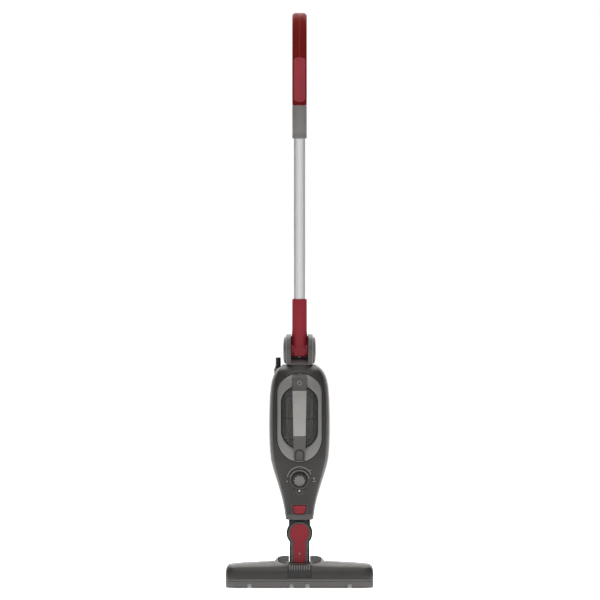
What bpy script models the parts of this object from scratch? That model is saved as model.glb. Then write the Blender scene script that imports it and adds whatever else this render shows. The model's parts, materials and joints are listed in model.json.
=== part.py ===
"""Corded upright wet and dry floor cleaner, standing upright on its floor head.

Front is -Y, right is +X, up is +Z. The origin is on the floor under the head's pivot.
Sizes are written in millimetres, and the mesh helpers turn them into metres.
"""

import math

import bmesh
import bpy
from mathutils import Matrix, Vector

MM = 0.001
GAP = 0.3

# Floor head
HEAD_HALF_WIDTH = 152.5
HEAD_HALF_DEPTH = 60.0
HEAD_CENTRE_Y = -5.0
HEAD_CORNER = 26.0
SKIRT_LOW = 1.0
SKIRT_TOP = 15.0
NOTCH_X = (16.5, 103.5)
NOTCH_WIDTH = 8.5
NOTCH_TOP = 9.5
PITCH_Z = 34.0
DRUM_RADIUS = 19.0
DRUM_HALF_WIDTH = 28.8
TRUNNION_RADIUS = 7.0
STEM_HALF_WIDTH = 20.7
STEM_HALF_DEPTH = 18.0

# Neck
ROLL_Z = 112.5
SPIGOT_RADIUS = 26.9
PLATE_RADIUS = 23.6
ROLL_PIN_RADIUS = 5.0

# Body
BODY_LOW = 140.0
BODY_TOP = 461.0
WALL = 2.5
PARTING = 0.57
ROUNDNESS = 2.35
# Height, half width, depth in front of the middle plane and behind it.
BODY_STATIONS = (
    (140.0, 28.7, 28.0, 28.0),
    (166.0, 32.0, 31.0, 32.0),
    (191.0, 37.9, 35.5, 37.0),
    (216.0, 45.2, 40.0, 43.5),
    (241.0, 53.1, 45.5, 47.5),
    (266.0, 59.2, 50.5, 49.5),
    (309.0, 62.5, 54.5, 50.0),
    (365.0, 62.5, 55.0, 49.5),
    (408.0, 60.4, 52.0, 47.5),
    (433.0, 55.7, 46.0, 44.0),
    (450.0, 47.2, 38.5, 38.5),
    (461.0, 34.0, 28.0, 30.0),
)
BODY_RINGS = (
    140, 151, 166, 184, 204, 224, 245, 266, 300, 340, 375, 405, 424, 438, 449, 456, 461,
)

# Container window and dial: half width, top, end of the straight sides, bottom.
BAY = (46.0, 444.0, 404.0, 311.0, 261.0)
PANE = (38.0, 419.0, 385.0, 326.0, 288.0)
DIAL_Z = 224.0
DIAL_TILT = math.atan2(10.5, 50.0)
RELEASE_LOW = 153.0
RELEASE_HIGH = 170.5

# Handle
FOLD_Z = 491.0
CHEEK_IN = 17.8
CHEEK_OUT = 27.5
YOKE_RADIUS = 33.0
BARREL_RADIUS = 14.0
TUBE_RADIUS = 12.1
SLEEVE_RADIUS = 15.3
SOCKET_TOP = 597.0
COLLAR_LOW = 929.0
COLLAR_TOP = 998.0
GRIP_HALF_WIDTH = 15.0

# Red, green, blue, roughness and metallic value of each finish.
FINISHES = {
    "body_grey": (0.115, 0.105, 0.098, 0.45, 0.0),
    "head_grey": (0.125, 0.115, 0.105, 0.5, 0.0),
    "black": (0.012, 0.012, 0.012, 0.5, 0.0),
    "red": (0.30, 0.022, 0.035, 0.38, 0.0),
    "ring_grey": (0.30, 0.29, 0.275, 0.5, 0.0),
    "knob_grey": (0.36, 0.35, 0.34, 0.4, 0.0),
    "strap_grey": (0.26, 0.25, 0.235, 0.42, 0.0),
    "aluminium": (0.72, 0.72, 0.72, 0.25, 1.0),
    "steel": (0.55, 0.55, 0.55, 0.3, 1.0),
    "clear": (0.10, 0.10, 0.10, 0.08, 0.0),
    "rubber": (0.02, 0.02, 0.02, 0.8, 0.0),
    "white_pad": (0.78, 0.78, 0.76, 0.9, 0.0),
    "board_green": (0.02, 0.12, 0.05, 0.5, 0.0),
    "lamp": (0.75, 0.75, 0.70, 0.2, 0.0),
}


def clear_scene():
    for old in list(bpy.data.objects):
        bpy.data.objects.remove(old, do_unlink=True)


def finish_material(name, finish):
    red, green, blue, roughness, metallic = FINISHES[finish]
    material = bpy.data.materials.new(name + "_finish")
    material.use_nodes = True
    shader = material.node_tree.nodes["Principled BSDF"]
    shader.inputs["Base Color"].default_value = (red, green, blue, 1.0)
    shader.inputs["Roughness"].default_value = roughness
    shader.inputs["Metallic"].default_value = metallic
    return material


def make(name, points, faces, finish=None, origin=(0.0, 0.0, 0.0)):
    """An object from points in millimetres; with no finish it is a cutter or a tool."""
    mesh = bpy.data.meshes.new(name)
    centre = Vector(origin)
    mesh.from_pydata([(Vector(point) - centre) * MM for point in points], [], faces)
    work = bmesh.new()
    work.from_mesh(mesh)
    bmesh.ops.remove_doubles(work, verts=work.verts, dist=1e-6)
    loose = [edge for edge in work.edges if not edge.link_faces]
    bmesh.ops.delete(work, geom=loose, context="EDGES")
    bmesh.ops.recalc_face_normals(work, faces=work.faces)
    work.to_mesh(mesh)
    work.free()
    mesh.shade_smooth()
    mesh.set_sharp_from_angle(angle=math.radians(35))
    obj = bpy.data.objects.new(name, mesh)
    obj.location = centre * MM
    bpy.context.collection.objects.link(obj)
    if finish:
        mesh.materials.append(finish_material(name, finish))
    else:
        obj.hide_render = True
        obj.display_type = "WIRE"
    return obj


def combine(target, other, operation):
    modifier = target.modifiers.new(other.name, "BOOLEAN")
    modifier.operation = operation
    modifier.solver = "EXACT"
    modifier.object = other
    other.hide_render = True
    other.display_type = "WIRE"
    return target


def cut(target, *tools):
    for tool in tools:
        combine(target, tool, "DIFFERENCE")
    return target


def join(target, *tools):
    for tool in tools:
        combine(target, tool, "UNION")
    return target


def keep(target, tool):
    return combine(target, tool, "INTERSECT")


def use_manifold(target):
    """The exact solver leaves stray faces on a few pieces, whose tools are all closed."""
    for modifier in target.modifiers:
        if modifier.type == "BOOLEAN":
            modifier.solver = "MANIFOLD"


# ---- shapes ----


def side_faces(first, second, count):
    return [
        (first + i, first + (i + 1) % count, second + (i + 1) % count, second + i)
        for i in range(count)
    ]


def loft(name, rings, finish=None, origin=(0.0, 0.0, 0.0)):
    """A closed solid through rings of equal point counts, with flat ends."""
    count = len(rings[0])
    points = [point for ring in rings for point in ring]
    faces = []
    for index in range(len(rings) - 1):
        faces += side_faces(index * count, (index + 1) * count, count)
    faces.append(tuple(range(count)))
    faces.append(tuple(range((len(rings) - 1) * count, len(rings) * count)))
    return make(name, points, faces, finish, origin)


def hoop(name, rings, finish=None, origin=(0.0, 0.0, 0.0)):
    """A closed solid through rings that end where they start."""
    count = len(rings[0])
    points = [point for ring in rings for point in ring]
    faces = []
    for index in range(len(rings)):
        faces += side_faces(index * count, (index + 1) % len(rings) * count, count)
    return make(name, points, faces, finish, origin)


def place(across, along, height, axis):
    """A point from two outline coordinates and its place along the axis."""
    if axis == "X":
        return (height, across, along)
    if axis == "Y":
        return (across, height, along)
    return (across, along, height)


def prism(name, outline, axis, low, high, finish=None, origin=(0.0, 0.0, 0.0)):
    rings = [[place(u, v, end, axis) for u, v in outline] for end in (low, high)]
    return loft(name, rings, finish, origin)


def turned(name, profile, axis, centre, finish=None, steps=20, origin=None):
    """A profile of (radius, place along the axis) turned round an axis through centre."""
    rings = []
    for step in range(steps):
        angle = 2 * math.pi * step / steps
        across, along = math.cos(angle), math.sin(angle)
        ring = [Vector(place(r * across, r * along, h, axis)) + Vector(centre) for r, h in profile]
        rings.append(ring)
    return hoop(name, rings, finish, origin or centre)


def rod(name, radius, axis, centre, low, high, finish=None, steps=20, origin=None):
    profile = [(0.0, low), (radius, low), (radius, high), (0.0, high)]
    return turned(name, profile, axis, centre, finish, steps, origin)


def block(name, x, y, z, finish=None, origin=(0.0, 0.0, 0.0)):
    outline = [(x[0], y[0]), (x[1], y[0]), (x[1], y[1]), (x[0], y[1])]
    return prism(name, outline, "Z", z[0], z[1], finish, origin)


def soft_block(name, x, y, z, edge, finish, origin=(0.0, 0.0, 0.0), segments=2):
    obj = block(name, x, y, z, finish, origin)
    bevel = obj.modifiers.new("edges", "BEVEL")
    bevel.width = edge * MM
    bevel.segments = segments
    return obj


def arc(centre, radius, start, end, steps):
    """Outline points on an arc, with angles in degrees."""
    angles = [math.radians(start + (end - start) * i / steps) for i in range(steps + 1)]
    return [
        (centre[0] + radius * math.cos(a), centre[1] + radius * math.sin(a)) for a in angles
    ]


def rounded(half_width, half_depth, corner, centre=(0.0, 0.0), steps=5):
    """A rectangle with round corners, as outline points."""
    points = []
    for index, (side, end) in enumerate(((1, 1), (-1, 1), (-1, -1), (1, -1))):
        middle = (
            centre[0] + side * (half_width - corner),
            centre[1] + end * (half_depth - corner),
        )
        points += arc(middle, corner, 90 * index, 90 * index + 90, steps)
    return points


def level(outline, z):
    return [(x, y, z) for x, y in outline]


def oval(half_width, front, rear, z, slope=0.0, steps=32):
    """A level or sloping oval ring about the Z axis."""
    ring = []
    for i in range(steps):
        angle = 2 * math.pi * i / steps
        y = math.sin(angle) * (rear if math.sin(angle) > 0 else front)
        ring.append((half_width * math.cos(angle), y, z + slope * y))
    return ring


def smooth_path(stops, steps):
    """Points on a smooth curve through the stops, ends included."""
    path = []
    for i in range(len(stops) - 1):
        before = Vector(stops[max(i - 1, 0)])
        here, there = Vector(stops[i]), Vector(stops[i + 1])
        after = Vector(stops[min(i + 2, len(stops) - 1)])
        for k in range(steps):
            t = k / steps
            path.append(
                0.5
                * (
                    2 * here
                    + (there - before) * t
                    + (2 * before - 5 * here + 4 * there - after) * t * t
                    + (3 * here - before - 3 * there + after) * t**3
                )
            )
    return path + [Vector(stops[-1])]


def swept(name, path, section, finish=None, closed=False, origin=(0.0, 0.0, 0.0)):
    """A section of (x, outward) points carried along a path in the YZ plane."""
    rings = []
    for i, point in enumerate(path):
        before = path[i - 1] if i or closed else point
        after = path[(i + 1) % len(path)] if i + 1 < len(path) or closed else point
        along = (after - before).normalized()
        out = Vector((0.0, -along.z, along.y))
        rings.append([point + Vector((x, 0.0, 0.0)) + out * h for x, h in section])
    if closed:
        return hoop(name, rings, finish, origin)
    return loft(name, rings, finish, origin)


def pipe(name, path, outer, inner, finish, steps=10):
    """A hollow pipe along a path in the YZ plane."""
    angles = [2 * math.pi * i / steps for i in range(steps)]
    solid, bore = (
        [(radius * math.cos(a), radius * math.sin(a)) for a in angles]
        for radius in (outer, inner)
    )
    ends = [path[0] + (path[0] - path[1])] + path[1:-1] + [path[-1] + (path[-1] - path[-2])]
    return cut(swept(name, path, solid, finish), swept(name + "_bore", ends, bore))


# ---- body surface ----


def body_at(z):
    """Half width, front depth and rear depth of the body at a height."""
    rows = BODY_STATIONS
    index = max(i for i in range(len(rows) - 1) if rows[i][0] <= z)
    here, there = rows[index], rows[index + 1]
    before, after = rows[max(index - 1, 0)], rows[min(index + 2, len(rows) - 1)]
    span = there[0] - here[0]
    t = (z - here[0]) / span
    values = []
    for k in (1, 2, 3):
        rate_here = (there[k] - before[k]) / (there[0] - before[0]) * span
        rate_there = (after[k] - here[k]) / (after[0] - here[0]) * span
        values.append(
            (2 * t**3 - 3 * t**2 + 1) * here[k]
            + (t**3 - 2 * t**2 + t) * rate_here
            + (3 * t**2 - 2 * t**3) * there[k]
            + (t**3 - t**2) * rate_there
        )
    return values


def body_ring(z, inset, count=32):
    half, front, rear = (value - inset for value in body_at(z))
    ring = []
    for i in range(count):
        angle = 2 * math.pi * i / count
        across, along = math.cos(angle), math.sin(angle)
        x = half * math.copysign(abs(across) ** (2 / ROUNDNESS), across)
        y = (rear if along > 0 else front) * math.copysign(abs(along) ** (2 / ROUNDNESS), along)
        ring.append((x, y, z))
    return ring


def body_form(name, inset, finish=None):
    """The body's outer form, moved in by an inset."""
    rings = []
    for z in BODY_RINGS:
        height = min(max(z, BODY_LOW + inset), BODY_TOP - inset)
        if not rings or height > rings[-1][0][2] + 0.5:
            rings.append(body_ring(height, inset))
    return loft(name, rings, finish)


def body_depth(x, z, inset=0.0, rear=False):
    """The y of the body's surface at a place seen from the front or from behind."""
    half, front, back = (value - inset for value in body_at(z))
    reach = (1 - abs(x / half) ** ROUNDNESS) ** (1 / ROUNDNESS)
    return back * reach if rear else -front * reach


def lozenge(shape, inset, steps=8):
    """An oval outline with straight sides: the container bay or its pane, moved in."""
    half, top, straight_top, straight_low, low = shape
    half -= inset
    points = []
    for start, middle, height in (
        (0, straight_top, top - straight_top - inset),
        (180, straight_low, straight_low - low - inset),
    ):
        for i in range(steps + 1):
            angle = math.radians(start + 180 * i / steps)
            points.append((half * math.cos(angle), middle + height * math.sin(angle)))
    return points


def skin(name, outline, outer_inset, inner_inset, finish, rear=False):
    """A piece of the body's skin inside an outline seen along Y."""
    span = (0.0, 90.0) if rear else (-90.0, 0.0)
    piece = prism(name, outline, "Y", span[0], span[1], finish)
    keep(piece, body_form(name + "_outer", outer_inset))
    return cut(piece, body_form(name + "_inner", inner_inset))


# ---- floor head ----


def head_ring(inset, z, corner=HEAD_CORNER):
    outline = rounded(
        HEAD_HALF_WIDTH - inset, HEAD_HALF_DEPTH - inset, corner, (0.0, HEAD_CENTRE_Y)
    )
    return level(outline, z)


def head_dome(name, inset, low, finish=None):
    """The head's outer form above its skirt, or the hollow inside it."""
    crown = (
        (0.0, 0.0, 21.0), (-0.4, -0.4, 27.0), (0.0, 0.0, 34.0), (1.5, 1.5, 40.0),
        (3.5, 4.0, 44.0), (8.5, 9.0, 48.0), (27.5, 17.0, 50.0), (57.5, 25.0, 52.0),
        (90.0, 32.0, 54.0),
    )
    rings = [head_ring(inset, low)]
    for side, end, z in crown:
        half_width = HEAD_HALF_WIDTH - side - inset
        half_depth = HEAD_HALF_DEPTH - end - inset
        corner = max(HEAD_CORNER - end * 0.3 - inset, 8.0)
        outline = rounded(half_width, half_depth, corner, (0.0, HEAD_CENTRE_Y))
        rings.append(level(outline, z - inset))
    return loft(name, rings, finish)


def head_cover():
    cover = head_dome("head_cover", 0.0, SKIRT_TOP + GAP, "head_grey")
    collar = loft(
        "collar_form",
        [
            oval(56.0, 38.0, 38.0, 40.0),
            oval(53.0, 36.0, 37.0, 52.0),
            oval(46.5, 32.0, 34.5, 55.5, 0.2),
        ],
    )
    join(cover, collar)
    hollow = head_dome("cover_hollow", WALL, SKIRT_TOP - 2.0)
    dish = loft("dish_form", [oval(46.0, 44.0, 34.0, 39.0), oval(52.0, 50.0, 37.0, 47.5)])
    opening = loft(
        "collar_opening",
        [oval(42.0, 29.0, 30.0, 30.0), oval(42.0, 29.0, 30.0, 43.0), oval(43.0, 33.0, 30.5, 45.0),
         oval(44.0, 46.0, 31.0, 51.0), oval(44.8, 48.0, 32.0, 66.0)],
    )
    lean_slot = block("lean_slot", (-21.7, 21.7), (0.0, 80.0), (10.0, 80.0))
    pocket = block("tread_pocket", (-24.6, 24.6), (-90.0, -50.6), (22.0, 60.0))
    skin_depth = head_dome("tread_floor", 1.3, SKIRT_TOP + GAP)
    cut(pocket, skin_depth)
    cut(cover, hollow)
    join(cover, dish)
    return cut(cover, opening, lean_slot, pocket)


def head_skirt():
    outer = [
        head_ring(2.2, SKIRT_LOW, 24.0), head_ring(0.6, SKIRT_LOW + 2.0), head_ring(0.0, 6.0),
        head_ring(0.0, SKIRT_TOP),
    ]
    skirt = loft("head_skirt", outer, "head_grey")
    hollow = loft("skirt_hollow", [head_ring(3.0, -5.0, 23.0), head_ring(3.0, 30.0, 23.0)])
    cut(skirt, hollow)
    front = HEAD_CENTRE_Y - HEAD_HALF_DEPTH
    for x in NOTCH_X:
        for side in (-1, 1):
            low = side * x - NOTCH_WIDTH / 2
            name = f"notch_{'left' if side < 0 else 'right'}_{x:.0f}"
            notch = block(
                name, (low, low + NOTCH_WIDTH), (front - 5, front + 6), (-5.0, NOTCH_TOP)
            )
            cut(skirt, notch)
    return skirt


def head_base():
    inset = 3.0 + GAP
    base = loft("head_base", [head_ring(inset, z, 23.0) for z in (10.0, 12.5)], "black")
    mouth = block("mouth_cut", (-118.0, 118.0), (-55.0, -45.0), (0.0, 30.0))
    airway = rod("base_airway", 13.0, "Z", (0.0, 0.0, 0.0), 0.0, 30.0)
    cut(base, mouth, airway)
    outline = [(-122, -57), (122, -57), (122, -43), (28, -22), (-28, -22), (-122, -43)]
    duct = prism("suction_duct", outline, "Z", 12.5 + GAP, 25.0, "black")
    inner = [(-119, -55), (119, -55), (119, -45), (27, -24), (-27, -24), (-119, -45)]
    cut(duct, prism("duct_hollow", inner, "Z", 10.0, 23.0))
    cut(duct, block("duct_mouth", (-18.0, 18.0), (-30.0, -10.0), (10.0, 21.0)))


def head_underside():
    soft_block(
        "bristle_strip", (-116.0, 116.0), (-44.5, -41.0), (1.5, 9.7), 0.6, "rubber", segments=1
    )
    block("rubber_blade", (-116.0, 116.0), (-57.5, -56.0), (1.2, 9.7), "white_pad")
    pad = [
        level(rounded(142.0, 39.0, 18.0, (0.0, 8.0)), 0.0),
        level(rounded(144.5, 41.5, 20.0, (0.0, 8.0)), 2.5),
        level(rounded(144.5, 41.5, 20.0, (0.0, 8.0)), 6.0),
        level(rounded(142.0, 39.0, 18.0, (0.0, 8.0)), 8.0),
    ]
    loft("mop_pad", pad, "white_pad")
    for name, y in (("hook_strip_front", -20.0), ("hook_strip_rear", 34.0)):
        block(name, (-120.0, 120.0), (y - 6, y + 6), (8.3, 9.7), "black")


def tread_insert():
    """A rubber patch on the front of the head, with ribs from front to back at its top."""
    tread = block("tread_insert", (-24.0, 24.0), (-90.0, -51.0), (22.5, 53.0), "rubber")
    cut(tread, head_dome("tread_back", 1.0, SKIRT_TOP))
    keep(tread, head_dome("tread_front", -0.9, SKIRT_TOP))
    for index in range(9):
        x = -19.2 + 4.8 * index
        groove = block(
            f"tread_groove_{index}", (x - 1.2, x + 1.2), (-90.0, -40.0), (38.0, 60.0)
        )
        cut(groove, head_dome(f"groove_floor_{index}", 0.1, SKIRT_TOP))
        cut(tread, groove)
    return tread


def drum_cradle():
    floor_z = 12.5 + GAP
    outline = [
        (-40.0, floor_z), (40.0, floor_z), (40.0, PITCH_Z - GAP), (30.0, PITCH_Z - GAP),
        (30.0, 14.6), (-30.0, 14.6), (-30.0, PITCH_Z - GAP), (-40.0, PITCH_Z - GAP),
    ]
    cradle = prism("drum_cradle", outline, "Y", -13.0, 13.0, "black")
    bearing = rod(
        "cradle_bearing", TRUNNION_RADIUS + GAP, "X", (0.0, 0.0, PITCH_Z), -60.0, 60.0
    )
    airway = rod("cradle_airway", 12.0, "Z", (0.0, 0.0, 0.0), 0.0, 20.0)
    cut(cradle, bearing, airway)
    arch = arc((0.0, PITCH_Z), 10.8, 0, 180, 10)
    arch += arc((0.0, PITCH_Z), TRUNNION_RADIUS + GAP, 180, 0, 10)
    prism("bearing_cap_left", arch, "X", -39.0, -30.0, "black")
    prism("bearing_cap_right", arch, "X", 30.0, 39.0, "black")


# ---- neck ----


def keyhole(radius, stem_half_width, low, centre_z=ROLL_Z, steps=20):
    """A round plate with a straight stem below it, as (x, z) points."""
    angle = math.degrees(math.acos(stem_half_width / radius))
    outline = [(-stem_half_width, low), (stem_half_width, low)]
    return outline + arc((0.0, centre_z), radius, -angle, 180 + angle, steps)


def neck_frame():
    pivot = (0.0, 0.0, PITCH_Z)
    stem_rings = [
        level(rounded(STEM_HALF_WIDTH, STEM_HALF_DEPTH, 6.0), 38.0),
        level(rounded(STEM_HALF_WIDTH, STEM_HALF_DEPTH, 6.0), 66.0),
        level(rounded(STEM_HALF_WIDTH, 19.8, 5.0, (0.0, -0.7)), 76.0),
        level(rounded(STEM_HALF_WIDTH, 19.8, 5.0, (0.0, -0.7)), 84.5),
    ]
    frame = loft("neck_frame", stem_rings, "black", pivot)
    drum = rod("neck_drum", DRUM_RADIUS, "X", pivot, -DRUM_HALF_WIDTH, DRUM_HALF_WIDTH, steps=32)
    trunnions = rod("neck_trunnions", TRUNNION_RADIUS, "X", pivot, -38.5, 38.5)
    outline = keyhole(PLATE_RADIUS, STEM_HALF_WIDTH - 0.4, 77.0)
    front = prism("neck_front_plate", outline, "Y", -21.0, -17.0)
    rear = prism("neck_rear_plate", outline, "Y", 14.0, 19.6)
    join(frame, drum, trunnions, front, rear)
    roll_bore = rod(
        "roll_bore", ROLL_PIN_RADIUS + GAP, "Y", (0.0, 0.0, ROLL_Z), -18.5, 40.0
    )
    airway = rod("stem_airway", 12.5, "Z", (0.0, 0.0, 0.0), 5.0, 100.0)
    cut(frame, airway, roll_bore)
    use_manifold(frame)
    faceplate = keyhole(PLATE_RADIUS, 17.4, 50.0)
    prism("neck_faceplate", faceplate, "Y", -23.6, -21.0 - GAP, "body_grey", pivot)
    red = keyhole(19.8, 12.6, 51.0)
    cover = prism("neck_cover", red, "Y", -25.6, -23.6 - GAP, "red", pivot)
    cut(cover, rod("cover_screw_hole", 1.7, "Y", (0.0, 0.0, 70.5), -40.0, 0.0, steps=12))
    rod("neck_cover_screw", 1.4, "Y", (0.0, 0.0, 70.5), -25.7, -23.6 - GAP, "steel", steps=12)
    pin = [
        (0.0, -18.2), (ROLL_PIN_RADIUS, -18.2), (ROLL_PIN_RADIUS, 19.9), (8.5, 19.9),
        (8.5, 22.0), (0.0, 22.0),
    ]
    turned("roll_pin", pin, "Y", (0.0, 0.0, ROLL_Z), "steel")


# ---- body ----


def spigot():
    rings = [
        level(rounded(22.2, 15.0, 6.0, (0.0, -1.5)), 112.5),
        level(rounded(22.2, 15.0, 6.0, (0.0, -1.5)), 138.0),
        level(rounded(21.5, 19.0, 16.0), 139.3),
        level(rounded(21.5, 21.0, 18.0), 168.0),
    ]
    piece = loft("spigot", rings, "black", (0.0, 0.0, ROLL_Z))
    drum = rod("spigot_drum", SPIGOT_RADIUS, "Y", (0.0, 0.0, ROLL_Z), -16.5, 13.5, steps=36)
    join(piece, drum)
    airway = rod("spigot_airway", 12.5, "Z", (0.0, 0.0, 0.0), 60.0, 200.0)
    bore = rod("spigot_bore", ROLL_PIN_RADIUS + GAP, "Y", (0.0, 0.0, ROLL_Z), -40.0, 40.0)
    return cut(piece, airway, bore)


def dial_frame():
    """A frame whose +Z leaves the dial's face and whose origin is on the shell there."""
    face = Vector((0.0, body_depth(0.0, DIAL_Z), DIAL_Z))
    outward = Vector((0.0, -math.cos(DIAL_TILT), -math.sin(DIAL_TILT)))
    turn = outward.to_track_quat("Z", "Y").to_matrix().to_4x4()
    return Matrix.Translation(face * MM) @ turn


def dial_turned(name, profile, finish=None, steps=24):
    obj = turned(name, profile, "Z", (0.0, 0.0, 0.0), finish, steps)
    obj.matrix_world = dial_frame()
    return obj


def release_outline(inset):
    low, high = RELEASE_LOW + inset, RELEASE_HIGH - inset
    outline = [(-14.2 + inset, high - 1.5), (-12.5 + inset, high), (12.5 - inset, high)]
    outline += [(14.2 - inset, high - 1.5), (11.2 - inset, low + 2.5), (8.0 - inset, low)]
    return outline + [(-8.0 + inset, low), (-11.2 + inset, low + 2.5)]


def parting_tool(name, far, offset):
    """The space in front of or behind the seam, which keeps to one share of the front depth."""
    heights = (BODY_LOW - 5.0,) + BODY_RINGS + (BODY_TOP + 5.0,)
    seam = []
    for z in heights:
        front_depth = body_at(min(max(z, BODY_LOW), BODY_TOP - 0.01))[1]
        seam.append((offset - PARTING * front_depth, z))
    outline = seam + [(far, heights[-1]), (far, heights[0])]
    return prism(name, outline, "X", -90.0, 90.0)


def shells():
    front = body_form("front_shell", 0.0, "body_grey")
    rear = body_form("rear_shell", 0.0, "body_grey")
    keep(front, parting_tool("front_region", -90.0, -GAP / 2))
    keep(rear, parting_tool("rear_region", 90.0, GAP / 2))
    boss = rod("cord_boss", 8.5, "Z", (-44.0, 24.0, 0.0), 424.0, 452.9)
    join(rear, boss)
    hollow = body_form("shell_hollow", WALL)
    foot = rod("spigot_hole", 23.0, "Z", (0.0, 0.0, 0.0), 130.0, 160.0, steps=32)
    neck = block("yoke_hole", (-10.0, 10.0), (-10.0, 10.0), (450.0, 480.0))
    bay = prism("bay_cut", lozenge(BAY, -0.6), "Y", -90.0, 0.0)
    dial = dial_turned("dial_cut", [(0.0, -8.0), (21.4, -8.0), (21.4, 20.0), (0.0, 20.0)])
    release = prism("release_cut", release_outline(-0.4), "Y", -60.0, -10.0)
    lamp = rod("lamp_cut", 2.5, "Y", (0.0, 0.0, 201.0), -60.0, -20.0, steps=16)
    cut(front, hollow, foot, neck, bay, dial, release, lamp)
    grille = prism("grille_cut", rounded(24.6, 22.6, 5.0, (0.0, 228.0)), "Y", 20.0, 90.0)
    boot = rod("boot_hole", 4.3, "Z", (-44.0, 24.0, 0.0), 440.0, 480.0, steps=16)
    cut(rear, hollow, foot, neck, grille, boot)
    use_manifold(front)
    return rear


SCREW_PLACES = ((-30.0, 300.0), (30.0, 300.0), (-30.0, 395.0), (30.0, 395.0))


def bay_and_screws(rear):
    bay = prism("container_bay", lozenge(BAY, -3.0), "Y", -80.0, 11.5, "black")
    keep(bay, body_form("bay_limit", WALL + GAP))
    cut(bay, prism("bay_hollow", lozenge(BAY, -1.2), "Y", -90.0, 9.0))
    for index, (x, z) in enumerate(SCREW_PLACES, 1):
        surface = body_depth(x, z, 0.0, rear=True)
        seat = surface - 1.3
        join(bay, rod(f"boss_{index}", 4.2, "Y", (x, 0, z), 10.5, surface - 5.2, steps=12))
        cut(bay, rod(f"boss_bore_{index}", 1.8, "Y", (x, 0, z), 14.0, 90.0, steps=12))
        hole = turned(
            f"screw_hole_{index}",
            [(0, 12), (1.9, 12), (1.9, seat), (3.7, seat), (3.7, 90), (0, 90)],
            "Y", (x, 0, z), steps=12,
        )
        cut(rear, hole)
        under, over = seat + GAP, seat + 2.0
        screw = [(0, 18), (1.5, 18), (1.5, under), (3.3, under), (3.3, over), (0, over)]
        turned(f"case_screw_{index}", screw, "Y", (x, 0, z), "steel", steps=12)
    use_manifold(rear)
    cut(bay, rod("bay_inlet", 9.0, "Y", (0.0, 0.0, 296.0), 0.0, 30.0, steps=16))
    use_manifold(bay)
    path = smooth_path(
        [
            (0, 2, 170.5), (0, 10, 179), (0, 21, 190), (0, 25, 202), (0, 27, 225), (0, 27, 262),
            (0, 26, 284), (0, 20, 294), (0, 12.5, 296),
        ],
        2,
    )
    pipe("inlet_duct", path, 7.0, 5.6, "black")


def dial_parts():
    dish = [
        (3.4, -5.0), (20.9, -5.0), (20.9, 0.6), (18.5, 0.6), (15.5, -1.6), (3.4, -1.6),
    ]
    dial_turned("dial_base", dish, "body_grey")
    rings = []
    for radius, height in ((3.0, -9.0), (3.0, -0.9), (12.3, -0.9), (12.3, 7.5), (11.0, 9.0)):
        ring = []
        for i in range(48):
            angle = 2 * math.pi * i / 48
            lobe = 0.6 * math.cos(12 * angle) if radius > 5 else 0.0
            ring.append(((radius + lobe) * math.cos(angle), (radius + lobe) * math.sin(angle), height))
        rings.append(ring)
    knob = loft("dial_knob", rings, "knob_grey")
    knob.matrix_world = dial_frame()
    potentiometer = [(3.4, -5.3), (9.5, -5.3), (9.5, -11.0), (0.0, -11.0), (0.0, -9.5), (3.4, -9.5)]
    dial_turned("dial_potentiometer", potentiometer, "steel", steps=20)
    y = body_depth(0.0, 201.0)
    lens = [(0, y + 4), (2.2, y + 4), (2.2, y), (1.4, y - 0.8), (0, y - 1.0)]
    turned("lamp_lens", lens, "Y", (0.0, 0.0, 201.0), "lamp", steps=16)


def release_button():
    middle = (RELEASE_LOW + RELEASE_HIGH) / 2
    button = prism("nozzle_release_button", release_outline(0.0), "Y", -60.0, -24.5, "red")
    keep(button, body_form("release_face", -0.5))
    button.data.transform(Matrix.Translation((0.0, 0.0, -middle * MM)))
    button.location = (0.0, 0.0, middle * MM)
    return button


def motor_parts():
    can = [
        (3.0, 196.0), (16.5, 196.0), (18.0, 198.0), (18.0, 236.0), (16.5, 238.0), (3.0, 238.0),
    ]
    turned("motor", can, "Z", (0.0, -2.0, 0.0), "steel")
    housing = [
        (3.4, 239.5), (19.5, 239.5), (19.5, 256.5), (10.0, 256.5), (10.0, 254.8), (17.9, 254.8),
        (17.9, 241.0), (3.4, 241.0),
    ]
    turned("fan_housing", housing, "Z", (0.0, -2.0, 0.0), "black", steps=20)
    foot = (0.0, -2.0, 200.0)
    fan = block("fan_rotor", (-16.8, 16.8), (-3.2, -0.8), (243.0, 252.0), "black", foot)
    hub_profile = [
        (0, 200), (2.6, 200), (2.6, 241.6), (16.8, 241.6), (16.8, 243.4), (5, 245.5), (5, 252),
        (0, 252),
    ]
    hub = turned("fan_hub", hub_profile, "Z", (0.0, -2.0, 0.0), steps=20)
    blades = block("fan_blades", (-1.2, 1.2), (-18.8, 14.8), (243.0, 252.0))
    join(fan, hub, blades)


def exhaust_parts():
    outline = rounded(24.0, 22.0, 4.5, (0.0, 228.0))
    grille = skin("exhaust_grille", outline, -0.5, WALL - 0.4, "black", rear=True)
    for index in range(5):
        z = 214.0 + 7.0 * index
        slot = block(f"grille_slot_{index}", (-18.0, 18.0), (20.0, 90.0), (z - 1.5, z + 1.5))
        cut(grille, slot)
    pad_outline = rounded(22.0, 19.0, 4.0, (0.0, 229.0))
    skin("exhaust_filter", pad_outline, WALL + 0.6, WALL + 3.0, "white_pad", rear=True)
    board = ((-30.0, 30.0), (19.0, 20.6), (318.0, 380.0))
    soft_block("control_board", *board, 0.3, "board_green", segments=1)


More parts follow.
